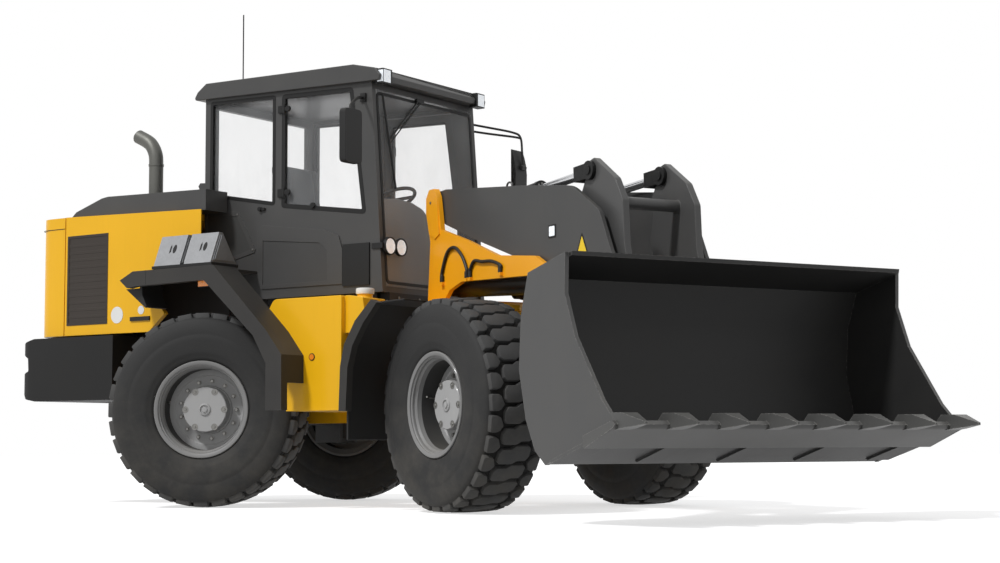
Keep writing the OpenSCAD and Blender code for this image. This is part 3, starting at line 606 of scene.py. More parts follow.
def band(bm, outline, outer, inner, low, high, plane="xz", radius=0.03):  # a flat frame round an opening
    a, b, c = planes[plane]
    loops = []
    for level in (low, high):
        for d in (outer, inner):
            ring = []
            for p in roundOff(grow(outline, d), max(radius + d, 0.004), 5):
                co = [0.0, 0.0, 0.0]
                co[a], co[b], co[c] = p[0], p[1], level
                ring.append(bm.verts.new(co))
            loops.append(ring)
    n = len(loops[0])
    for one, two in ((0, 1), (1, 3), (3, 2), (2, 0)):
        for i in range(n):
            bm.faces.new((loops[one][i], loops[one][(i + 1) % n], loops[two][(i + 1) % n], loops[two][i]))


def bolt(bm, at, axis, r, h, steps=6):
    lathe(bm, [(0, 0), (r, 0), (r, 0.8 * h), (0.82 * r, h), (0, h)], at, axis, steps)


shapes = {
    "block": block,
    "rod": rod,
    "bolt": bolt,
    "lathe": lathe,
    "prism": prism,
    "band": band,
    "sweep": sweep,
}


def fitting(name, node, materials, parts, both=False, matrix=toRow, width=0.0, replaced=()):
    # parts are (shape, material number, its arguments); both also makes them on the other side
    bm = bmesh.new()
    for side in (1, -1) if both else (1,):
        for shape, paint, *rest in parts:
            known, had = set(bm.faces), set(bm.verts)
            shapes[shape](bm, *rest)
            for f in set(bm.faces) - known:
                f.material_index = max(paint, f.material_index)
            for v in set(bm.verts) - had:
                v.co.y *= side
    obj = toObject(name, bm, materials, matrix)
    if width:
        soften(obj, width)
    return settle(obj, bodyOf(node), replaced)


# Camera and light
camera = {
    "place": (7.7603, -10.5384, 0.45058),
    "heading": 0.600376,
    "pitch": 5.0635,
    "roll": -0.222,
    "lens": 66.51,
}
cam = bpy.data.objects.new("camera", bpy.data.cameras.new("camera"))
bpy.context.scene.collection.objects.link(cam)
cam.data.lens, cam.data.sensor_width, cam.data.sensor_fit = camera["lens"], 36.0, "HORIZONTAL"
cam.data.clip_end = 300
cam.matrix_world = (Matrix.Translation(camera["place"]) @ Matrix.Rotation(camera["heading"], 4, "Z")
                    @ Matrix.Rotation(math.radians(90 + camera["pitch"]), 4, "X")
                    @ Matrix.Rotation(math.radians(camera["roll"]), 4, "Z"))
bpy.context.scene.camera = cam

studio = {
    "sunFrom": (-0.178, -0.631, 0.755),
    "sun": 2.1,
    "sunSize": 7.0,
    "world": 0.55,
    "floorGlow": 0.62,
    "floorGrey": 0.42,
}
sun = bpy.data.objects.new("sun", bpy.data.lights.new("sun", "SUN"))
sun.data.energy, sun.data.angle = studio["sun"], math.radians(studio["sunSize"])
sun.matrix_world = frameTo(Vector(studio["sunFrom"]))
bpy.context.scene.collection.objects.link(sun)

world = bpy.data.worlds.new("studio")
bpy.context.scene.world = world
world.use_nodes = True
wt = world.node_tree
wt.nodes.clear()
rays = wt.nodes.new("ShaderNodeLightPath")
seen = rays.outputs["Is Camera Ray"]
for ray in ("Is Transmission Ray", "Is Glossy Ray"):
    either = wt.nodes.new("ShaderNodeMath")
    either.operation = "MAXIMUM"
    wt.links.new(seen, either.inputs[0])
    wt.links.new(rays.outputs[ray], either.inputs[1])
    seen = either.outputs[0]
mix, wout = wt.nodes.new("ShaderNodeMixShader"), wt.nodes.new("ShaderNodeOutputWorld")
wt.links.new(seen, mix.inputs[0])
for i, strength in enumerate((studio["world"], 1.0)):  # what lights the object, what the camera sees
    background = wt.nodes.new("ShaderNodeBackground")
    background.inputs["Color"].default_value = (1, 1, 1, 1)
    background.inputs["Strength"].default_value = strength
    wt.links.new(background.outputs[0], mix.inputs[i + 1])
wt.links.new(mix.outputs[0], wout.inputs[0])


def floorFinish():  # white where it is lit, with a light shadow; grey to what it lights from below
    s = Shader("floorWhite")
    glow = s.node("ShaderNodeEmission", {}, {"Color": (1, 1, 1, 1), "Strength": studio["floorGlow"]}, "Emission")
    lit = s.node("ShaderNodeBsdfDiffuse", {}, {"Color": srgb(205, 205, 206)}, "BSDF")
    shown = s.node("ShaderNodeAddShader", {}, {0: glow, 1: lit}, 0)
    bounce = s.node("ShaderNodeBsdfDiffuse", {}, {"Color": (studio["floorGrey"],) * 3 + (1,)}, "BSDF")
    path = s.node("ShaderNodeLightPath", {}, {}, "Is Camera Ray")
    shiny = Value(s, path.socket.node.outputs["Is Glossy Ray"])
    through = Value(s, path.socket.node.outputs["Is Transmission Ray"])
    anySeen = s.maths("MAXIMUM", s.maths("MAXIMUM", path, shiny), through)
    mixed = s.node("ShaderNodeMixShader", {}, {0: anySeen, 1: bounce, 2: shown}, 0)
    s.tree.links.new(mixed.socket, s.out.inputs["Surface"])
    return s.material


look["floorWhite"] = floorFinish()
floorMesh = bmesh.new()
prism(floorMesh, [(-60, -60), (60, -60), (60, 60), (-60, 60)], -0.02, -0.001, "xy")
floor = toObject("floor", floorMesh, "floorWhite", Matrix.Identity(4))
bpy.context.scene.view_settings.view_transform = "Standard"
print("camera and light set")

# CAD nodes that get rounded edges and a finish: materials, slot, edge radius
plainNodes = {
    "chassis_frame": ("bodyYellow", "body_yellow", 0.004),
    "counterweight": ("castBlack", "dark_paint", 0.014),
    "fenders": ("fenderGrey", "dark_paint", 0.010),
    "arch_liners": ("linerPlastic", "black_plastic", 0.004),
    "engine_block": ("engineGrey", "engine_grey", 0.01),
    "axles": ("axleGrey", "axle_grey", 0.008),
    "cab_roof": ("darkPaint", "dark_paint", 0.012),
    **{"knuckle_" + corner: ("axleGrey", "axle_grey", 0.005) for corner, *_ in wheels},
    "tilt_links": ("hornGrey", "dark_paint", 0.005),
    "controls": ("blackPlastic", "black_plastic", 0.006),
    "lift_barrels": ("blackMetal", "black_metal", 0.004),
    "tilt_barrels": ("blackMetal", "black_metal", 0.004),
}
for node, (material, slot, width) in plainNodes.items():
    dress(node, material, width)
for node in ("cab_glass", "door_glass"):
    for i in range(len(frame["nodes"][node].material_slots)):
        frame["nodes"][node].material_slots[i].material = look["clearGlass"]


def inside(p, low, high):  # p within a box of x and z, on either side
    return low[0] <= p.x <= high[0] and low[1] <= p.z <= high[1]


# Places by which a face of a CAD node gets its finish
hood = {
    "side": 0.95,
    "sideFrom": 0.935,
    "grille": ((-1.476, 1.414), (-1.014, 2.136)),
    "louvreArea": 0.6,
    "handle": ((-0.757, 1.422), (-0.543, 1.458)),
    "discs": ((-0.907, 1.479, 0.0665), (-0.644, 1.507, 0.0345)),
}
rear = {
    "lampX": -1.8305,
    "lampY": 0.68,
    "amberFrom": 2.045,
    "grilleX": (-1.819, -1.787),
    "grilleY": 0.6105,
    "grilleZ": (1.489, 2.161),
    "louvreArea": 0.1,
}
shell = {
    "insetY": (-0.6535, -0.6451),
    "inset": ((0.34, 1.66), (0.99, 2.015)),
}
chockFoot = {"top": 1.8005, "area": 0.4}
boomCover = {"side": 0.3755, "from": 1.4, "to": 1.8}
coverEdge = {"side": 0.899, "top": 2.335}
bucketZones = {
    "lip": (3.45, 0.64),
    "back": 2.60,
    "side": 1.2005,
    "floor": 0.375,
    "cheekFrom": 2.7,
}


def hoodFace(p, normal, face):  # 0 yellow, 1 grille, 2 black plastic, 3 blank white discs
    y = abs(p.y)
    if y < hood["sideFrom"]:
        return 0
    if inside(p, *hood["grille"]) and face.calc_area() < hood["louvreArea"]:
        return 1
    if abs(y - hood["side"]) < 0.0003:
        return 0
    if inside(p, *hood["handle"]):
        return 2
    for x, z, r in hood["discs"]:
        if math.hypot(p.x - x, p.z - z) < r + 0.001:
            return 3 if y > hood["side"] + 0.0015 else 2
    return 0


def rearFace(p, normal, face):  # 0 yellow, 1 grille, 2 red lens, 3 amber lens
    if p.x < rear["lampX"] and abs(p.y) > rear["lampY"]:
        return 3 if p.z > rear["amberFrom"] else 2
    (x0, x1), (z0, z1) = rear["grilleX"], rear["grilleZ"]
    inOpening = abs(p.y) < rear["grilleY"] and z0 < p.z < z1
    return int(inOpening and x0 < p.x < x1 and face.calc_area() < rear["louvreArea"])


def shellFace(p, normal, face):  # 1 the inset panel on the right
    y0, y1 = shell["insetY"]
    return int(y0 < p.y < y1 and inside(p, *shell["inset"]))


def chockFace(p, normal, face):  # 1 the rubber foot
    flat = face.calc_area() < chockFoot["area"] and abs(normal.z) > 0.9
    return int(p.z < chockFoot["top"] and (normal.z < 0.5 or flat))


def boomPoint(p):
    return toBoom.inverted() @ (toRow @ p)


def boomFace(p, normal, face):  # 1 the black covers on the boom's sides
    local = boomPoint(p)
    return int(abs(local.y) > boomCover["side"] and boomCover["from"] < local.x < boomCover["to"])


def rodFace(p, normal, face):  # 1 the black eye or fork beyond the chrome rod
    return int(boomPoint(p).x > rodEnd)


def coverFace(p, normal, face):  # 1 the seal along the lower edge
    return int(p.z < coverEdge["top"] and abs(normal.z) < 0.5 and abs(p.y) > coverEdge["side"])


def bucketFace(p, normal, face):  # 0 painted outside, 1 inside, a darker copy of the paint for painted shade, 2 worn lip and teeth
    local = boomPoint(p)
    n = toBoom.to_3x3().inverted() @ normal
    lipX, lipZ = bucketZones["lip"]
    if local.x > lipX and local.z < lipZ:
        return 2
    if local.x < bucketZones["back"] or abs(local.y) > bucketZones["side"] or local.z < bucketZones["floor"]:
        return 0
    return int(n.x > 0.05 or n.z > 0.3 or abs(n.y) > 0.9 and local.x > bucketZones["cheekFrom"])


choices = {
    "side_tanks": (["bodyYellow"], "body_yellow", 0.012, None),
    "hood": (["bodyYellow", "grilleBrown", "blackPlastic", "discWhite"], "body_yellow", 0.006, hoodFace),
    "rear_panel": (["bodyYellow", "blackPlastic", "redLens", "amberLens"], "body_yellow", 0.006, rearFace),
    "hood_cover": (["darkPaint", "sealRubber"], "dark_paint", 0.008, coverFace),
    "cab_shell": (["darkPaint", "insetGrey"], "dark_paint", 0.005, shellFace),
    "cab_door": (["darkPaint"], "dark_paint", 0.005, None),
    "cab_trim": (["blackPlastic"], "black_plastic", 0.003, None),
    "wheel_chocks": (["galvanised", "sealRubber"], "galvanised", 0.004, chockFace),
    "exhaust": (["stackPaint"], "black_metal", 0.0, None),
    "swing_tower": (["towerOrange"], "tower_orange", 0.006, None),
    "boom": (["darkPaint", "blackPlastic"], "dark_paint", 0.004, boomFace),
    "tilt_levers": (["hornGrey"], "dark_paint", 0.005, None),
    "bucket": (["bucketPaint", "bucketInsideShaded", "toothSteel"], "dark_paint", 0.004, bucketFace),
}
for node, (materials, slot, width, chooser) in choices.items():
    dress(node, materials, width, chooser=chooser)
for node, end in (("lift_rods", 1.385), ("tilt_rods", 1.780)):
    rodEnd = end
    dress(node, ["chromeRod", "blackMetal"], 0.003, chooser=rodFace)
print("CAD nodes dressed")

tread = {
    "count": 32,
    "rise": 0.034,
    "shoulder": [(0.124, -0.012), (0.148, -0.046), (0.168, -0.056), (0.217, -0.058), (0.221, 0.058), (0.168, 0.058),
                 (0.146, 0.044)],
    "centre": [(0.119, -0.050), (0.119, 0.012), (0.097, 0.044), (0.032, 0.045), (-0.004, 0.070), (-0.097, 0.070),
               (-0.119, 0.050), (-0.119, -0.012), (-0.097, -0.044), (-0.032, -0.045), (0.004, -0.070),
               (0.097, -0.070)],
    "crown": 0.010,
    "cornerRound": 0.013,
    "edge": 0.006,
}


def makeTyre(name, matrix):
    h, r = layout["tyreW"] / 2, layout["tyreR"]
    base = r - tread["rise"]
    pitch = 2 * math.pi / tread["count"]
    half = [(0.3173, 0.2115), (0.361, 0.2137), (0.368, 0.226), (0.385, 0.238), (0.402, 0.2405), (0.410, 0.247),
            (0.432, 0.251), (0.470, h - 0.004), (0.510, h - 0.001), (0.545, h), (0.551, h - 0.003), (0.560, h - 0.001),
            (0.610, h - 0.008), (0.650, h - 0.019), (0.670, h - 0.03), (base - 0.006, h - 0.052), (base, h - 0.085),
            (base + 0.004, 0.0)]
    profile = [(a, -b) for a, b in half] + [(a, b) for a, b in half[-2::-1]]
    bm = bmesh.new()
    loop = profile + profile[:1]
    # the tread's base between the lugs gets near-black rubber: painted shade in the grooves
    paint = [1 if min(one[0], two[0]) > base - 0.01 else 0 for one, two in zip(loop, loop[1:])]
    lathe(bm, loop, (0, 0, 0), steps=96, paint=paint)
    carcass = toObject("carcass", bm, ["tyreRubber", "grooveRubber"], Matrix.Identity(4), 40)
    blocks = []
    for kind, shift, side in (("shoulder", 0.0, 1), ("centre", 0.5, 1), ("shoulder", 0.0, -1)):
        bm = bmesh.new()
        low, high = [], []
        for a, t in roundOff(tread[kind], tread["cornerRound"], 2):
            a, t = a * side, t * side
            crown = tread["crown"] * (a / 0.235) ** 2
            for out, reach, grow, narrow in ((low, base - 0.02, 1.06, 1.0), (high, r - crown, 0.95, 0.985)):
                turn = t * grow / r + shift * pitch
                out.append(bm.verts.new((reach * math.sin(turn), a * narrow, reach * math.cos(turn))))
        n = len(low)
        bm.faces.new(low)
        top = bm.faces.new(high[::-1])
        for i in range(n):
            bm.faces.new((low[i], high[i], high[(i + 1) % n], low[(i + 1) % n]))
        bmesh.ops.recalc_face_normals(bm, faces=bm.faces)
        bmesh.ops.bevel(bm, geom=list(top.edges), offset=tread["edge"], segments=2, affect="EDGES", profile=0.5)
        lug = toObject("lug" + str(len(blocks)), bm, "treadRubber", Matrix.Identity(4), 40)
        blocks.append(repeat(lug, "round", tread["count"], (0, pitch, 0)))
    return place(merged(name, [carcass] + blocks), matrix)


rim = {
    "disc": 0.0,
    "hub": 0.128,
    "bolts": 13,
    "boltRing": 0.215,
    "scallops": 6,
}


def makeRim(name, matrix):
    flange, d, h = layout["rimR"], rim["disc"], rim["hub"]
    bm = bmesh.new()
    barrel = [(0.300, -0.205), (0.300, 0.150), (0.306, 0.168), (0.306, 0.180), (0.318, 0.196), (0.318, 0.206),
              (0.330, 0.216), (0.330, 0.226), (0.343, 0.232), (flange - 0.004, 0.232), (flange, 0.228), (flange, 0.216),
              (0.352, 0.212), (0.317, 0.212), (0.317, -0.212), (flange, -0.214), (flange, -0.228),
              (flange - 0.004, -0.232),
              (0.340, -0.232), (0.326, -0.218)]
    # the inner barrel, the first step of the profile, gets the near-black grey: painted shade
    lathe(bm, barrel + barrel[:1], (0, 0, 0), steps=96, paint=[2] + [0] * 19)
    disc = [(0, d), (0.3, d), (0.3, d + 0.024), (0.285, d + 0.026), (0.262, d + 0.026), (0.254, d + 0.020),
            (0.182, d + 0.020), (0.178, d + 0.034), (0.172, d + 0.036), (0.168, d + 0.045), (0.168, h - 0.022),
            (0.166, h - 0.005), (0.161, h), (0.058, h + 0.002), (0.046, h + 0.0015), (0.043, h + 0.010),
            (0.034, h + 0.013), (0.031, h + 0.004), (0.022, h + 0.004), (0.020, h + 0.013), (0.015, h + 0.014),
            (0, h + 0.014)]
    # the disc gets the lighter copy of the rim's paint: painted light
    lathe(bm, disc, (0, 0, 0), steps=96, paint=[1] * (len(disc) - 1))
    lathe(bm, [(0, -0.06), (0.17, -0.06), (0.17, d + 0.01), (0, d + 0.01)], (0, 0, 0), steps=48)
    body = toObject("rimBody", bm, ["rimGrey", "discLitGrey", "recessShadeGrey"], Matrix.Identity(4), 28)
    bm = bmesh.new()  # a round seat and its screw at the hub cover's edge
    lathe(bm, [(0, 0.0), (0.024, 0.0), (0.0245, 0.0022), (0.019, 0.0026), (0.0185, 0.0008), (0.0, 0.0008)],
          (0.148, -h, 0), steps=20)
    lathe(bm, [(0, 0.0), (0.010, 0.0), (0.010, 0.006), (0.0085, 0.0075), (0, 0.0075)], (0.148, -h, 0), steps=6)
    seats = repeat(toObject("scallop", bm, "boltSteel", Matrix.Identity(4)), "round", rim["scallops"],
                   (0, 2 * math.pi / rim["scallops"], 0))
    bm = bmesh.new()
    lathe(bm, [(0, 0.016), (0.019, 0.016), (0.019, 0.024), (0.0145, 0.0245), (0.0145, 0.038), (0.012, 0.040),
               (0, 0.040)], (rim["boltRing"], 0, 0), steps=6)
    bolts = repeat(toObject("wheelBolt", bm, "boltSteel", Matrix.Identity(4)), "round", rim["bolts"],
                   (0, 2 * math.pi / rim["bolts"], 0))
    bm = bmesh.new()
    sweep(bm, smoothPath([(-0.296, -0.05, 0.05), (-0.285, -0.10, 0.055), (-0.262, -0.13, 0.06)], 4), 0.006, 8)
    valve = toObject("valve", bm, "boltSteel", Matrix.Identity(4))
    return place(merged(name, [body, seats, bolts, valve]), matrix)


for corner, x, side, steer in wheels:
    matrix = toWheel(x, side, steer)
    settle(makeTyre("tyre_" + corner + "_treaded", matrix), "wheel_" + corner, ["tyre_" + corner])
    settle(makeRim("rim_" + corner + "_turned", matrix), "wheel_" + corner, ["rim_" + corner])
print("wheels made")

# Cab lamps
lamps = {
    "twinY": (0.572, 0.440),
    "twin": (1.477, 1.902),
    "shell": [(0, 0.0), (0.050, 0.0), (0.062, 0.006), (0.067, 0.016), (0.067, 0.035), (0.0655, 0.0385),
              (0.061, 0.039), (0.0585, 0.0365), (0.056, 0.033), (0.040, 0.0355), (0.020, 0.0372), (0, 0.038)],
}
parts = [("lathe", 0, lamps["shell"], (lamps["twin"][0], -y, lamps["twin"][1]), (1, 0, 0), 40, [0] * 8 + [1] * 3)
         for y in lamps["twinY"]]
parts += [("block", 0, (1.400, -0.657, 1.882), (1.500, -0.6453, 1.922)),
          ("block", 0, (1.478, -0.657, 1.882), (1.500, -0.590, 1.922)),
          ("block", 0, (1.430, -0.650, 3.100), (1.4985, -0.541, 3.210)),
          ("block", 1, (1.4985, -0.643, 3.109), (1.500, -0.560, 3.201)),
          ("block", 1, (1.445, -0.6505, 3.112), (1.498, -0.650, 3.198))]
fitting("cab_lamps_fitted", "cab_lamps", ["blackPlastic", "headLens"], parts, True, width=0.002,
        replaced=["cab_lamps"])

# Mirrors on their arms
mirrors = {
    "right": [(-1.036, 2.474), (-0.844, 2.474), (-0.844, 2.866), (-1.036, 2.866)],
    "left": [(1.588, 2.481), (1.620, 2.481), (1.633, 2.52), (1.635, 2.60), (1.628, 2.68), (1.612, 2.745),
             (1.594, 2.798), (1.588, 2.798)],
}
parts = [("prism", 0, roundOff(mirrors["right"], 0.035), 1.404, 1.460, "yz"),
         ("prism", 1, roundOff(grow(mirrors["right"], -0.012), 0.026), 1.4005, 1.405, "yz"),
         ("prism", 0, mirrors["left"], 0.884, 1.046),
         ("block", 1, (1.5855, 0.894, 2.492), (1.590, 1.036, 2.780)),
         ("block", 0, (1.290, -0.660, 2.975), (1.340, -0.645, 3.040)),
         ("block", 0, (1.290, 0.645, 2.800), (1.340, 0.660, 3.040)),
         ("sweep", 0, smoothPath([(1.315, -0.655, 3.005), (1.352, -0.76, 2.985), (1.405, -0.90, 2.915),
                                  (1.430, -0.940, 2.860)], 6), 0.011, 12),
         ("sweep", 0, smoothPath([(1.315, 0.655, 3.000), (1.43, 0.78, 2.975), (1.575, 0.930, 2.940),
                                  (1.622, 0.972, 2.900), (1.634, 0.978, 2.780), (1.640, 0.98, 2.66)], 6), 0.009, 12),
         ("sweep", 0, smoothPath([(1.315, 0.655, 2.945), (1.43, 0.78, 2.925), (1.575, 0.930, 2.905),
                                  (1.630, 0.976, 2.892)], 6), 0.009, 12),
         ("rod", 0, (1.638, 0.95, 2.655), (1.638, 1.01, 2.655), 0.020),
         ("rod", 0, (1.315, 0.648, 3.000), (1.315, 0.664, 3.000), 0.022),
         ("rod", 0, (1.315, -0.648, 3.005), (1.315, -0.664, 3.005), 0.022),
         ("rod", 0, (1.430, -0.94, 2.845), (1.430, -0.94, 2.872), 0.018)]
fitting("mirrors_fitted", "mirrors", ["blackPlastic", "mirrorGlass"], parts, width=0.006,
        replaced=["mirrors"])

# Chocks: wide hand holes, painted as dark patches of shade, and the folded plates on their sides
chock = {
    "starts": (-0.225, 0.085),
    "lean": 68.63,
    "wedge": [(-1.232, 1.803), (-1.146, 2.022), (-1.114, 2.022), (-0.972, 1.803)],
    "sides": (0.2705, 0.2805),
}
oval = [(0.019 * math.cos(t * math.pi / 12), 0.036 * math.sin(t * math.pi / 12)) for t in range(24)]
slit = [(0.0055 * math.cos(t * math.pi / 6), 0.037 * math.sin(t * math.pi / 6)) for t in range(12)]
for i, x in enumerate(chock["starts"]):
    face = toRow @ Matrix.Translation((x, -1.191, 1.925)) @ Matrix.Rotation(math.radians(chock["lean"]), 4, "X")
    # the hand holes and slits are dark rubber patches on the face: painted shade
    parts = [("prism", 0, [(a + 0.172, b) for a, b in oval], -0.002, 0.0006, "xy"),
             ("prism", 0, [(a + 0.128 + 0.1 * b, b) for a, b in slit], -0.002, 0.0006, "xy")]
    fitting("chock_holes_" + str(i), "wheel_chocks", ["sealRubber"], parts, matrix=face)
parts = [("prism", 0, grow(chock["wedge"], -0.008 * (k + 1)), x + at, x + at + 0.005, "yz")
         for x in chock["starts"] for k, at in enumerate(chock["sides"])]
fitting("chock_sides", "wheel_chocks", ["galvanised"], parts, width=0.001)

# Console behind the windscreen
console = [(-0.56, 1.612), (0.50, 1.612), (0.50, 1.90, 0.10), (0.36, 2.06, 0.10), (0.08, 2.15, 0.06),
           (-0.03, 2.235, 0.08), (-0.16, 2.272, 0.10), (-0.34, 2.283, 0.05), (-0.56, 2.262, 0.03)]
parts = [("prism", 0, roundOff(console, 0.02), 1.335, 1.398, "yz")]
fitting("front_console", "cab_shell", ["consoleGrey"], parts, width=0.008)

# Seat: a plastic base, a cushion and a backrest swollen as cloth, then sewn
seat = {
    "cushion": [(0.166, 1.834), (0.664, 1.834), (0.668, 1.900, 0.03), (0.640, 1.944, 0.05), (0.200, 1.946, 0.03),
                (0.166, 1.930, 0.02)],
    "back": [(0.132, 1.952), (0.238, 1.952), (0.140, 2.680, 0.04), (0.056, 2.684, 0.04), (0.052, 2.640)],
    "width": 0.236,
    "voxel": 0.011,
    "pressure": 4.0,
    "cap": 0.014,
    "bolster": 0.150,
    "channel": 0.010,
    "channelWidth": 0.010,
    "cushionSeam": 0.42,
    "cushionTop": 1.90,
    "backSeam": 2.34,
    "backFront": (0.19, 1.95, 0.134),
    "held": (1.845, 1.96),
    "base": [(0.345, 1.6105), (0.615, 1.6105), (0.615, 1.70), (0.56, 1.74), (0.56, 1.815), (0.40, 1.815), (0.40, 1.74),
             (0.345, 1.70)],
    "plate": [(0.160, 1.812), (0.670, 1.812), (0.670, 1.834), (0.160, 1.834)],
}


def swell(obj, heldBelow):  # cloth under pressure; points under this height stay put
    m = obj.modifiers.new("remesh", "REMESH")
    m.mode, m.voxel_size = "VOXEL", seat["voxel"]
    obj.data = bpy.data.meshes.new_from_object(obj.evaluated_get(bpy.context.evaluated_depsgraph_get()))
    obj.modifiers.clear()
    start = [v.co.copy() for v in obj.data.vertices]
    held = obj.vertex_groups.new(name="held")
    held.add([i for i, co in enumerate(start) if co.z < heldBelow], 1.0, "REPLACE")
    cloth = obj.modifiers.new("cloth", "CLOTH")
    cloth.settings.vertex_group_mass = "held"
    cloth.settings.use_pressure = True
    cloth.settings.uniform_pressure_force = seat["pressure"]
    cloth.settings.effector_weights.gravity = 0
    cloth.settings.quality = 5
    cloth.point_cache.frame_end = 20
    for f in range(1, 21):
        bpy.context.scene.frame_set(f)
    obj.data = bpy.data.meshes.new_from_object(obj.evaluated_get(bpy.context.evaluated_depsgraph_get()))
    obj.modifiers.clear()
    obj.vertex_groups.clear()
    bpy.context.scene.frame_set(1)
    for v, co in zip(obj.data.vertices, start):
        moved = v.co - co
        if moved.length > seat["cap"]:
            v.co = co + moved * (seat["cap"] / moved.length)


def sew(obj, depthAt, outward):  # presses channels in, as deep as depthAt says for a point
    for v in obj.data.vertices:
        v.co -= outward * depthAt(toRow.inverted() @ v.co)
    m = obj.modifiers.new("smooth", "SUBSURF")
    m.levels = m.render_levels = 1


def groove(distance):
    return seat["channel"] * math.exp(-(distance / seat["channelWidth"]) ** 2)


def channels(p, across):  # two channels along the bolsters and one between them
    return groove(abs(p.y) - seat["bolster"]) + groove(across) * (abs(p.y) < seat["bolster"])


def cushionDepth(p):
    return channels(p, p.x - seat["cushionSeam"]) if p.z > seat["cushionTop"] else 0


def backDepth(p):
    x, z, lean = seat["backFront"]
    return channels(p, p.z - seat["backSeam"]) if p.x > x - (p.z - z) * lean else 0


parts = [("prism", 0, roundOff(seat["base"], 0.02), -0.195, 0.195),
         ("prism", 0, seat["plate"], -0.235, 0.235)]
fitting("seat_base", "seat", ["blackPlastic"], parts, width=0.008, replaced=["seat"])
for name, line, held, depthAt, outward in (
        ("cushion", "cushion", seat["held"][0], cushionDepth, (0, 0, 1)),
        ("backrest", "back", seat["held"][1], backDepth, (1, 0, 0.13))):
    bm = bmesh.new()
    prism(bm, roundOff(seat[line], 0.02), -seat["width"], seat["width"])
    pad = toObject("seat_" + name, bm, "seatFabric")
    swell(pad, held)
    sew(pad, depthAt, Vector(outward).normalized())
    settle(pad, bodyOf("seat"), ["seat"])
print("seat made")

# Rubber round the windows
glazing = {
    "rear": [(-0.205, 2.400), (0.445, 2.285), (0.445, 3.110), (-0.205, 3.128)],
    "front": [(0.535, 2.262), (1.325, 2.158), (1.200, 3.085), (0.535, 3.104)],
    "door": [(0.600, 1.700), (1.265, 1.700), (1.265, 2.138), (1.145, 3.022), (0.600, 3.037)],
    "screen": [(-0.600, 1.625), (0.600, 1.625), (0.600, 3.055), (-0.600, 3.055)],
    "slope": -0.0685,
    "side": 0.645,
}
for name, node, line, side, outer, inner, depth, both in (
        ("rear_window_rubber", "cab_shell", "rear", 1, 0.012, -0.016, 0.028, True),
        ("front_window_rubber", "cab_shell", "front", -1, 0.014, -0.020, 0.028, False),
        ("door_rubber", "cab_door", "door", 1, 0.010, -0.014, 0.026, False)):
    # a lip on the wall and a sleeve through it, both up to the rubber's face
    face, lip, sleeve = (side * (glazing["side"] + reach) for reach in (0.003, -0.0003, -depth))
    parts = [("band", 0, glazing[line], outer, -0.0005, *sorted((lip, face)), "xz", 0.02),
             ("band", 0, glazing[line], -0.0005, inner, *sorted((sleeve, face)), "xz", 0.02)]
    fitting(name, node, ["sealRubber"], parts, both, width=0.0012)
bm = bmesh.new()
band(bm, glazing["screen"], 0.0, -0.022, -0.004, 0.0045, "yz", 0.05)
for v in bm.verts:
    v.co.x += 1.494 + (v.co.z - 1.565) * glazing["slope"]
settle(toObject("screen_rubber", bm, "sealRubber"), bodyOf("cab_shell"))

# Air intake mesh with its frame's bolts
intake = {
    "outline": [(-0.235, 1.850), (-0.235, 2.258), (0.062, 2.218), (0.080, 2.205), (0.225, 1.950)],
    "bolts": [(-0.248, 1.838), (-0.248, 2.268), (0.076, 2.229), (0.238, 1.948), (0.0, 1.893)],
}
parts = [("prism", 0, intake["outline"], -0.6462, -0.6453)]
fitting("intake_mesh", "cab_shell", ["meshGrey"], parts, True)
parts = [("bolt", 0, (x, -0.651, z), (0, -1, 0), 0.009, 0.005) for x, z in intake["bolts"]]
fitting("intake_bolts", "cab_shell", ["boltSteel"], parts, True)

# Window hinges, catch and lower edge on the right of the cab
parts = [("block", 0, (0.492, -0.662, 2.975), (0.545, -0.645, 3.030)),
         ("block", 0, (0.492, -0.662, 2.330), (0.545, -0.645, 2.392)),
         ("rod", 0, (0.552, -0.657, 2.965), (0.552, -0.657, 3.040), 0.010),
         ("rod", 0, (0.552, -0.657, 2.320), (0.552, -0.657, 2.402), 0.010),
         ("rod", 0, (0.590, -0.645, 3.003), (0.590, -0.664, 3.003), 0.022),
         ("rod", 0, (0.590, -0.645, 2.362), (0.590, -0.664, 2.362), 0.024),
         ("block", 0, (0.545, -0.662, 2.990), (0.590, -0.652, 3.016)),
         ("block", 0, (0.545, -0.662, 2.348), (0.590, -0.652, 2.376)),
         ("rod", 0, (0.312, -0.640, 2.254), (0.312, -0.668, 2.254), 0.017),
         ("block", 0, (0.312, -0.660, 2.240), (0.362, -0.648, 2.262)),
         ("rod", 0, (0.835, -0.640, 2.244), (0.835, -0.662, 2.244), 0.022)]
fitting("cab_catches", "cab_shell", ["sealRubber"], parts, width=0.002)

# Caps, pins and small fittings on the chassis
parts = [("rod", 0, (1.130, -0.999, 1.087), (1.130, -1.006, 1.087), 0.021),
         ("rod", 1, (1.130, -0.999, 1.087), (1.130, -1.0035, 1.087), 0.027)]
fitting("lock_cap", "side_tanks", ["capOrange", "blackPlastic"], parts)
neck = [(0.056, 0.0), (0.064, 0.002), (0.066, 0.012), (0.066, 0.034), (0.063, 0.042), (0.056, 0.044), (0.050, 0.042),
        (0.048, 0.022), (0.0, 0.020)]
parts = [("lathe", 0, neck, (1.480, -0.830, 1.532), (0, 0, 1), 48, [0] * 7 + [1])]
fitting("filler_cap", "side_tanks", ["discWhite", "sealRubber"], parts)
parts = [("block", 0, (0.185, -1.190, 1.630), (0.285, -1.176, 1.690)),
         ("block", 1, (0.180, -1.186, 1.625), (0.290, -1.174, 1.757))]
fitting("side_reflectors", "fenders", ["amberLens", "linerPlastic"], parts, True, width=0.002)
parts = [("block", 0, (-0.3036, -1.2456, 1.668), (-0.3004, -1.2440, 1.7765))]
fitting("fender_seam", "fenders", ["sealRubber"], parts, True)
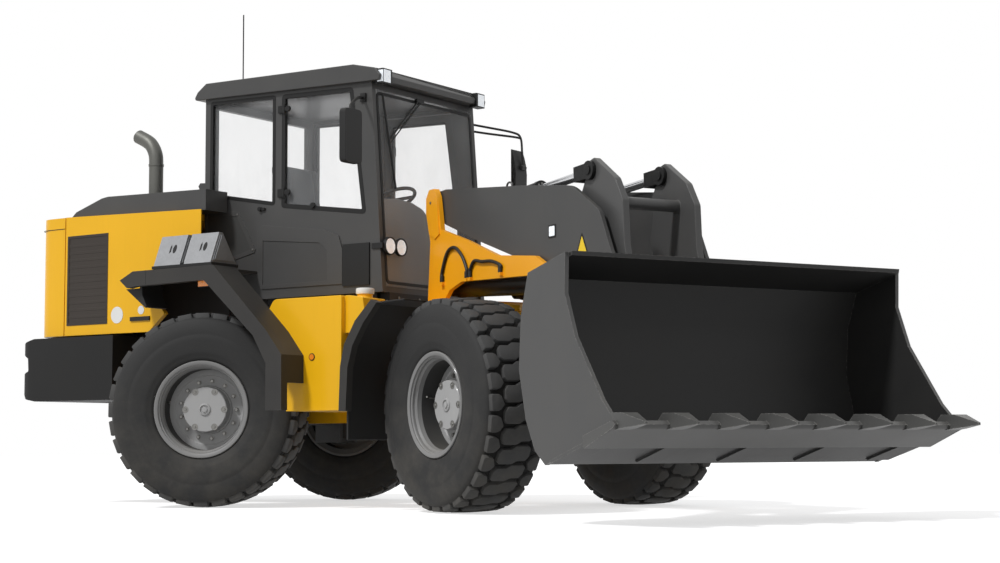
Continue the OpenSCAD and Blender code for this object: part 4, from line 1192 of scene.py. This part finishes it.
parts = [("bolt", 0, (x, -0.5602, 1.50), (0, -1, 0), 0.011, 0.008) for x in (1.42, 1.47)]
parts += [("bolt", 0, (1.4922, y, 1.53), (1, 0, 0), 0.010, 0.007) for y in (-0.45, -0.2, 0.05, 0.3, 0.5)]
fitting("sill_bolts", "cab_trim", ["boltSteel"], parts)

# Seams of the rear corner and rear panel
seam = roundOff([(-1.512, -0.9502, 0), (-1.8302, -0.9502, 0.15), (-1.8302, 0.9502, 0.15), (-1.512, 0.9502, 0)], 0.15, 6)
parts = [("sweep", 0, [(x, y, 2.200) for x, y in seam], 0.003, 6)]
fitting("rear_seam", "rear_panel", ["sealRubber"], parts)

# Exhaust joints
ring = [(0.0575, -0.010), (0.061, -0.009), (0.061, 0.009), (0.0575, 0.010)]
parts = [("lathe", 0, ring + ring[:1], (-0.900, -0.550, z), (0, 0, 1), 40) for z in (2.455, 2.712)]
fitting("exhaust_rings", "exhaust", ["stackPaint"], parts)

# Flush lamps, blank triangles and a lifting eye on the boom
boomPlate = 0.375
marks = {
    "lamp": [(1.5505, 1.8085), (1.6375, 1.8085), (1.6375, 1.8915), (1.5505, 1.8915)],
    "triangle": [(1.884, 1.664), (2.032, 1.664), (1.958, 1.812)],
}
parts = [("prism", 0, roundOff(marks["lamp"], 0.012), -boomPlate - 0.0046, -boomPlate),
         ("prism", 1, roundOff(grow(marks["lamp"], -0.009), 0.008), -boomPlate - 0.0056, -boomPlate)]
fitting("boom_lamps", "boom", ["blackPlastic", "headLens"], parts, True, toBoom)
parts = [("prism", 0, roundOff(marks["triangle"], 0.012), -boomPlate - 0.0006, -boomPlate + 0.001),
         ("prism", 1, roundOff(grow(marks["triangle"], -0.013), 0.004), -boomPlate - 0.0012, -boomPlate + 0.001)]
fitting("blank_triangles", "boom", ["sealRubber", "signYellow"], parts, True, toBoom)
eye = [(1.005 + 0.036 * math.cos(t * math.pi / 12), -0.360, 2.219 + 0.030 * math.sin(t * math.pi / 12))
       for t in range(13)]
fitting("lifting_eyes", "boom", ["darkPaint"], [("sweep", 0, eye, 0.007, 10)], True, toBoom)

# End rings of the cylinders, with their screws
cylinders = {
    "lift": {"node": "lift_barrels", "foot": (0.060, 1.600), "eye": (1.450, 1.525), "y": 0.265, "end": 1.240,
             "r": 0.075},
    "tilt": {"node": "tilt_barrels", "foot": (0.150, 2.110), "eye": (1.958, 2.213), "y": 0.275, "end": 1.150,
             "r": 0.055},
}
for name, c in cylinders.items():
    foot, eye = Vector((c["foot"][0], -c["y"], c["foot"][1])), Vector((c["eye"][0], -c["y"], c["eye"][1]))
    axis = (eye - foot).normalized()
    gland = [(c["r"] - 0.004, -0.040), (c["r"] + 0.002, -0.038), (c["r"] + 0.002, -0.002), (c["r"] - 0.002, 0.0),
             (c["r"] - 0.004, 0.0)]
    parts = [("lathe", 0, gland + gland[:1], foot + axis * c["end"], axis, 40),
             ("lathe", 0, gland + gland[:1], foot + axis * 0.115, axis, 40)]
    side = axis.cross(Vector((0, 1, 0)))
    for k in range(8):
        turn = k * math.pi / 4
        out = Vector((0, 1, 0)) * math.cos(turn) + side * math.sin(turn)
        parts.append(("bolt", 1, foot + axis * (c["end"] + 0.0005) + out * (c["r"] - 0.020), axis, 0.007, 0.003))
    fitting(name + "_glands", c["node"], ["blackMetal", "boltSteel"], parts, True, toBoom)

# Pin ends and keeper plates
pins = {
    "tower": {"node": "swing_tower", "y": 0.420, "at": [(-0.035, 2.222, 0.040)]},
    "boomPins": {"node": "boom", "y": 0.375, "at": [(2.300, 1.459, 0.040)]},
    "bucketPins": {"node": "bucket", "y": 0.423, "at": [(2.490, 0.590, 0.046)]},
}
for name, group in pins.items():
    parts = []
    for x, z, r in group["at"]:
        y = -group["y"]
        parts += [("lathe", 0, [(0, 0), (r, 0), (r, 0.006), (r - 0.003, 0.009), (0, 0.009)], (x, y, z), (0, -1, 0), 32),
                  ("bolt", 1, (x, y - 0.009, z), (0, -1, 0), 0.011, 0.006),
                  ("bolt", 1, (x - r - 0.018, y, z), (0, -1, 0), 0.010, 0.008)]
    fitting(name, group["node"], ["blackMetal", "boltSteel"], parts, True, toBoom)

# Hoses over the tower
hoses = {
    "radius": 0.012,
    "runs": [[(0.150, 1.6255), (0.150, 1.660), (0.150, 1.700), (0.230, 1.832), (0.340, 1.858), (0.450, 1.790),
              (0.520, 1.690), (0.520, 1.660), (0.520, 1.6255)],
             [(0.570, 1.6255), (0.570, 1.650), (0.570, 1.675), (0.630, 1.735), (0.740, 1.722), (0.880, 1.712),
              (1.000, 1.675), (1.000, 1.650), (1.000, 1.6255)]],
    "y": -0.433,
}
bm = bmesh.new()
for run in hoses["runs"]:
    path = smoothPath([(x, hoses["y"], z) for x, z in run], 10)
    sweep(bm, path, hoses["radius"], 14)
    for end, next_ in ((path[0], path[3]), (path[-1], path[-4])):
        rod(bm, end, end + (next_ - end).normalized() * 0.045, hoses["radius"] + 0.004, 12)
settle(toObject("hoses_rubber", bm, "hoseRubber", toBoom), "swing_tower", ["tower_hoses"])

print("fittings made")
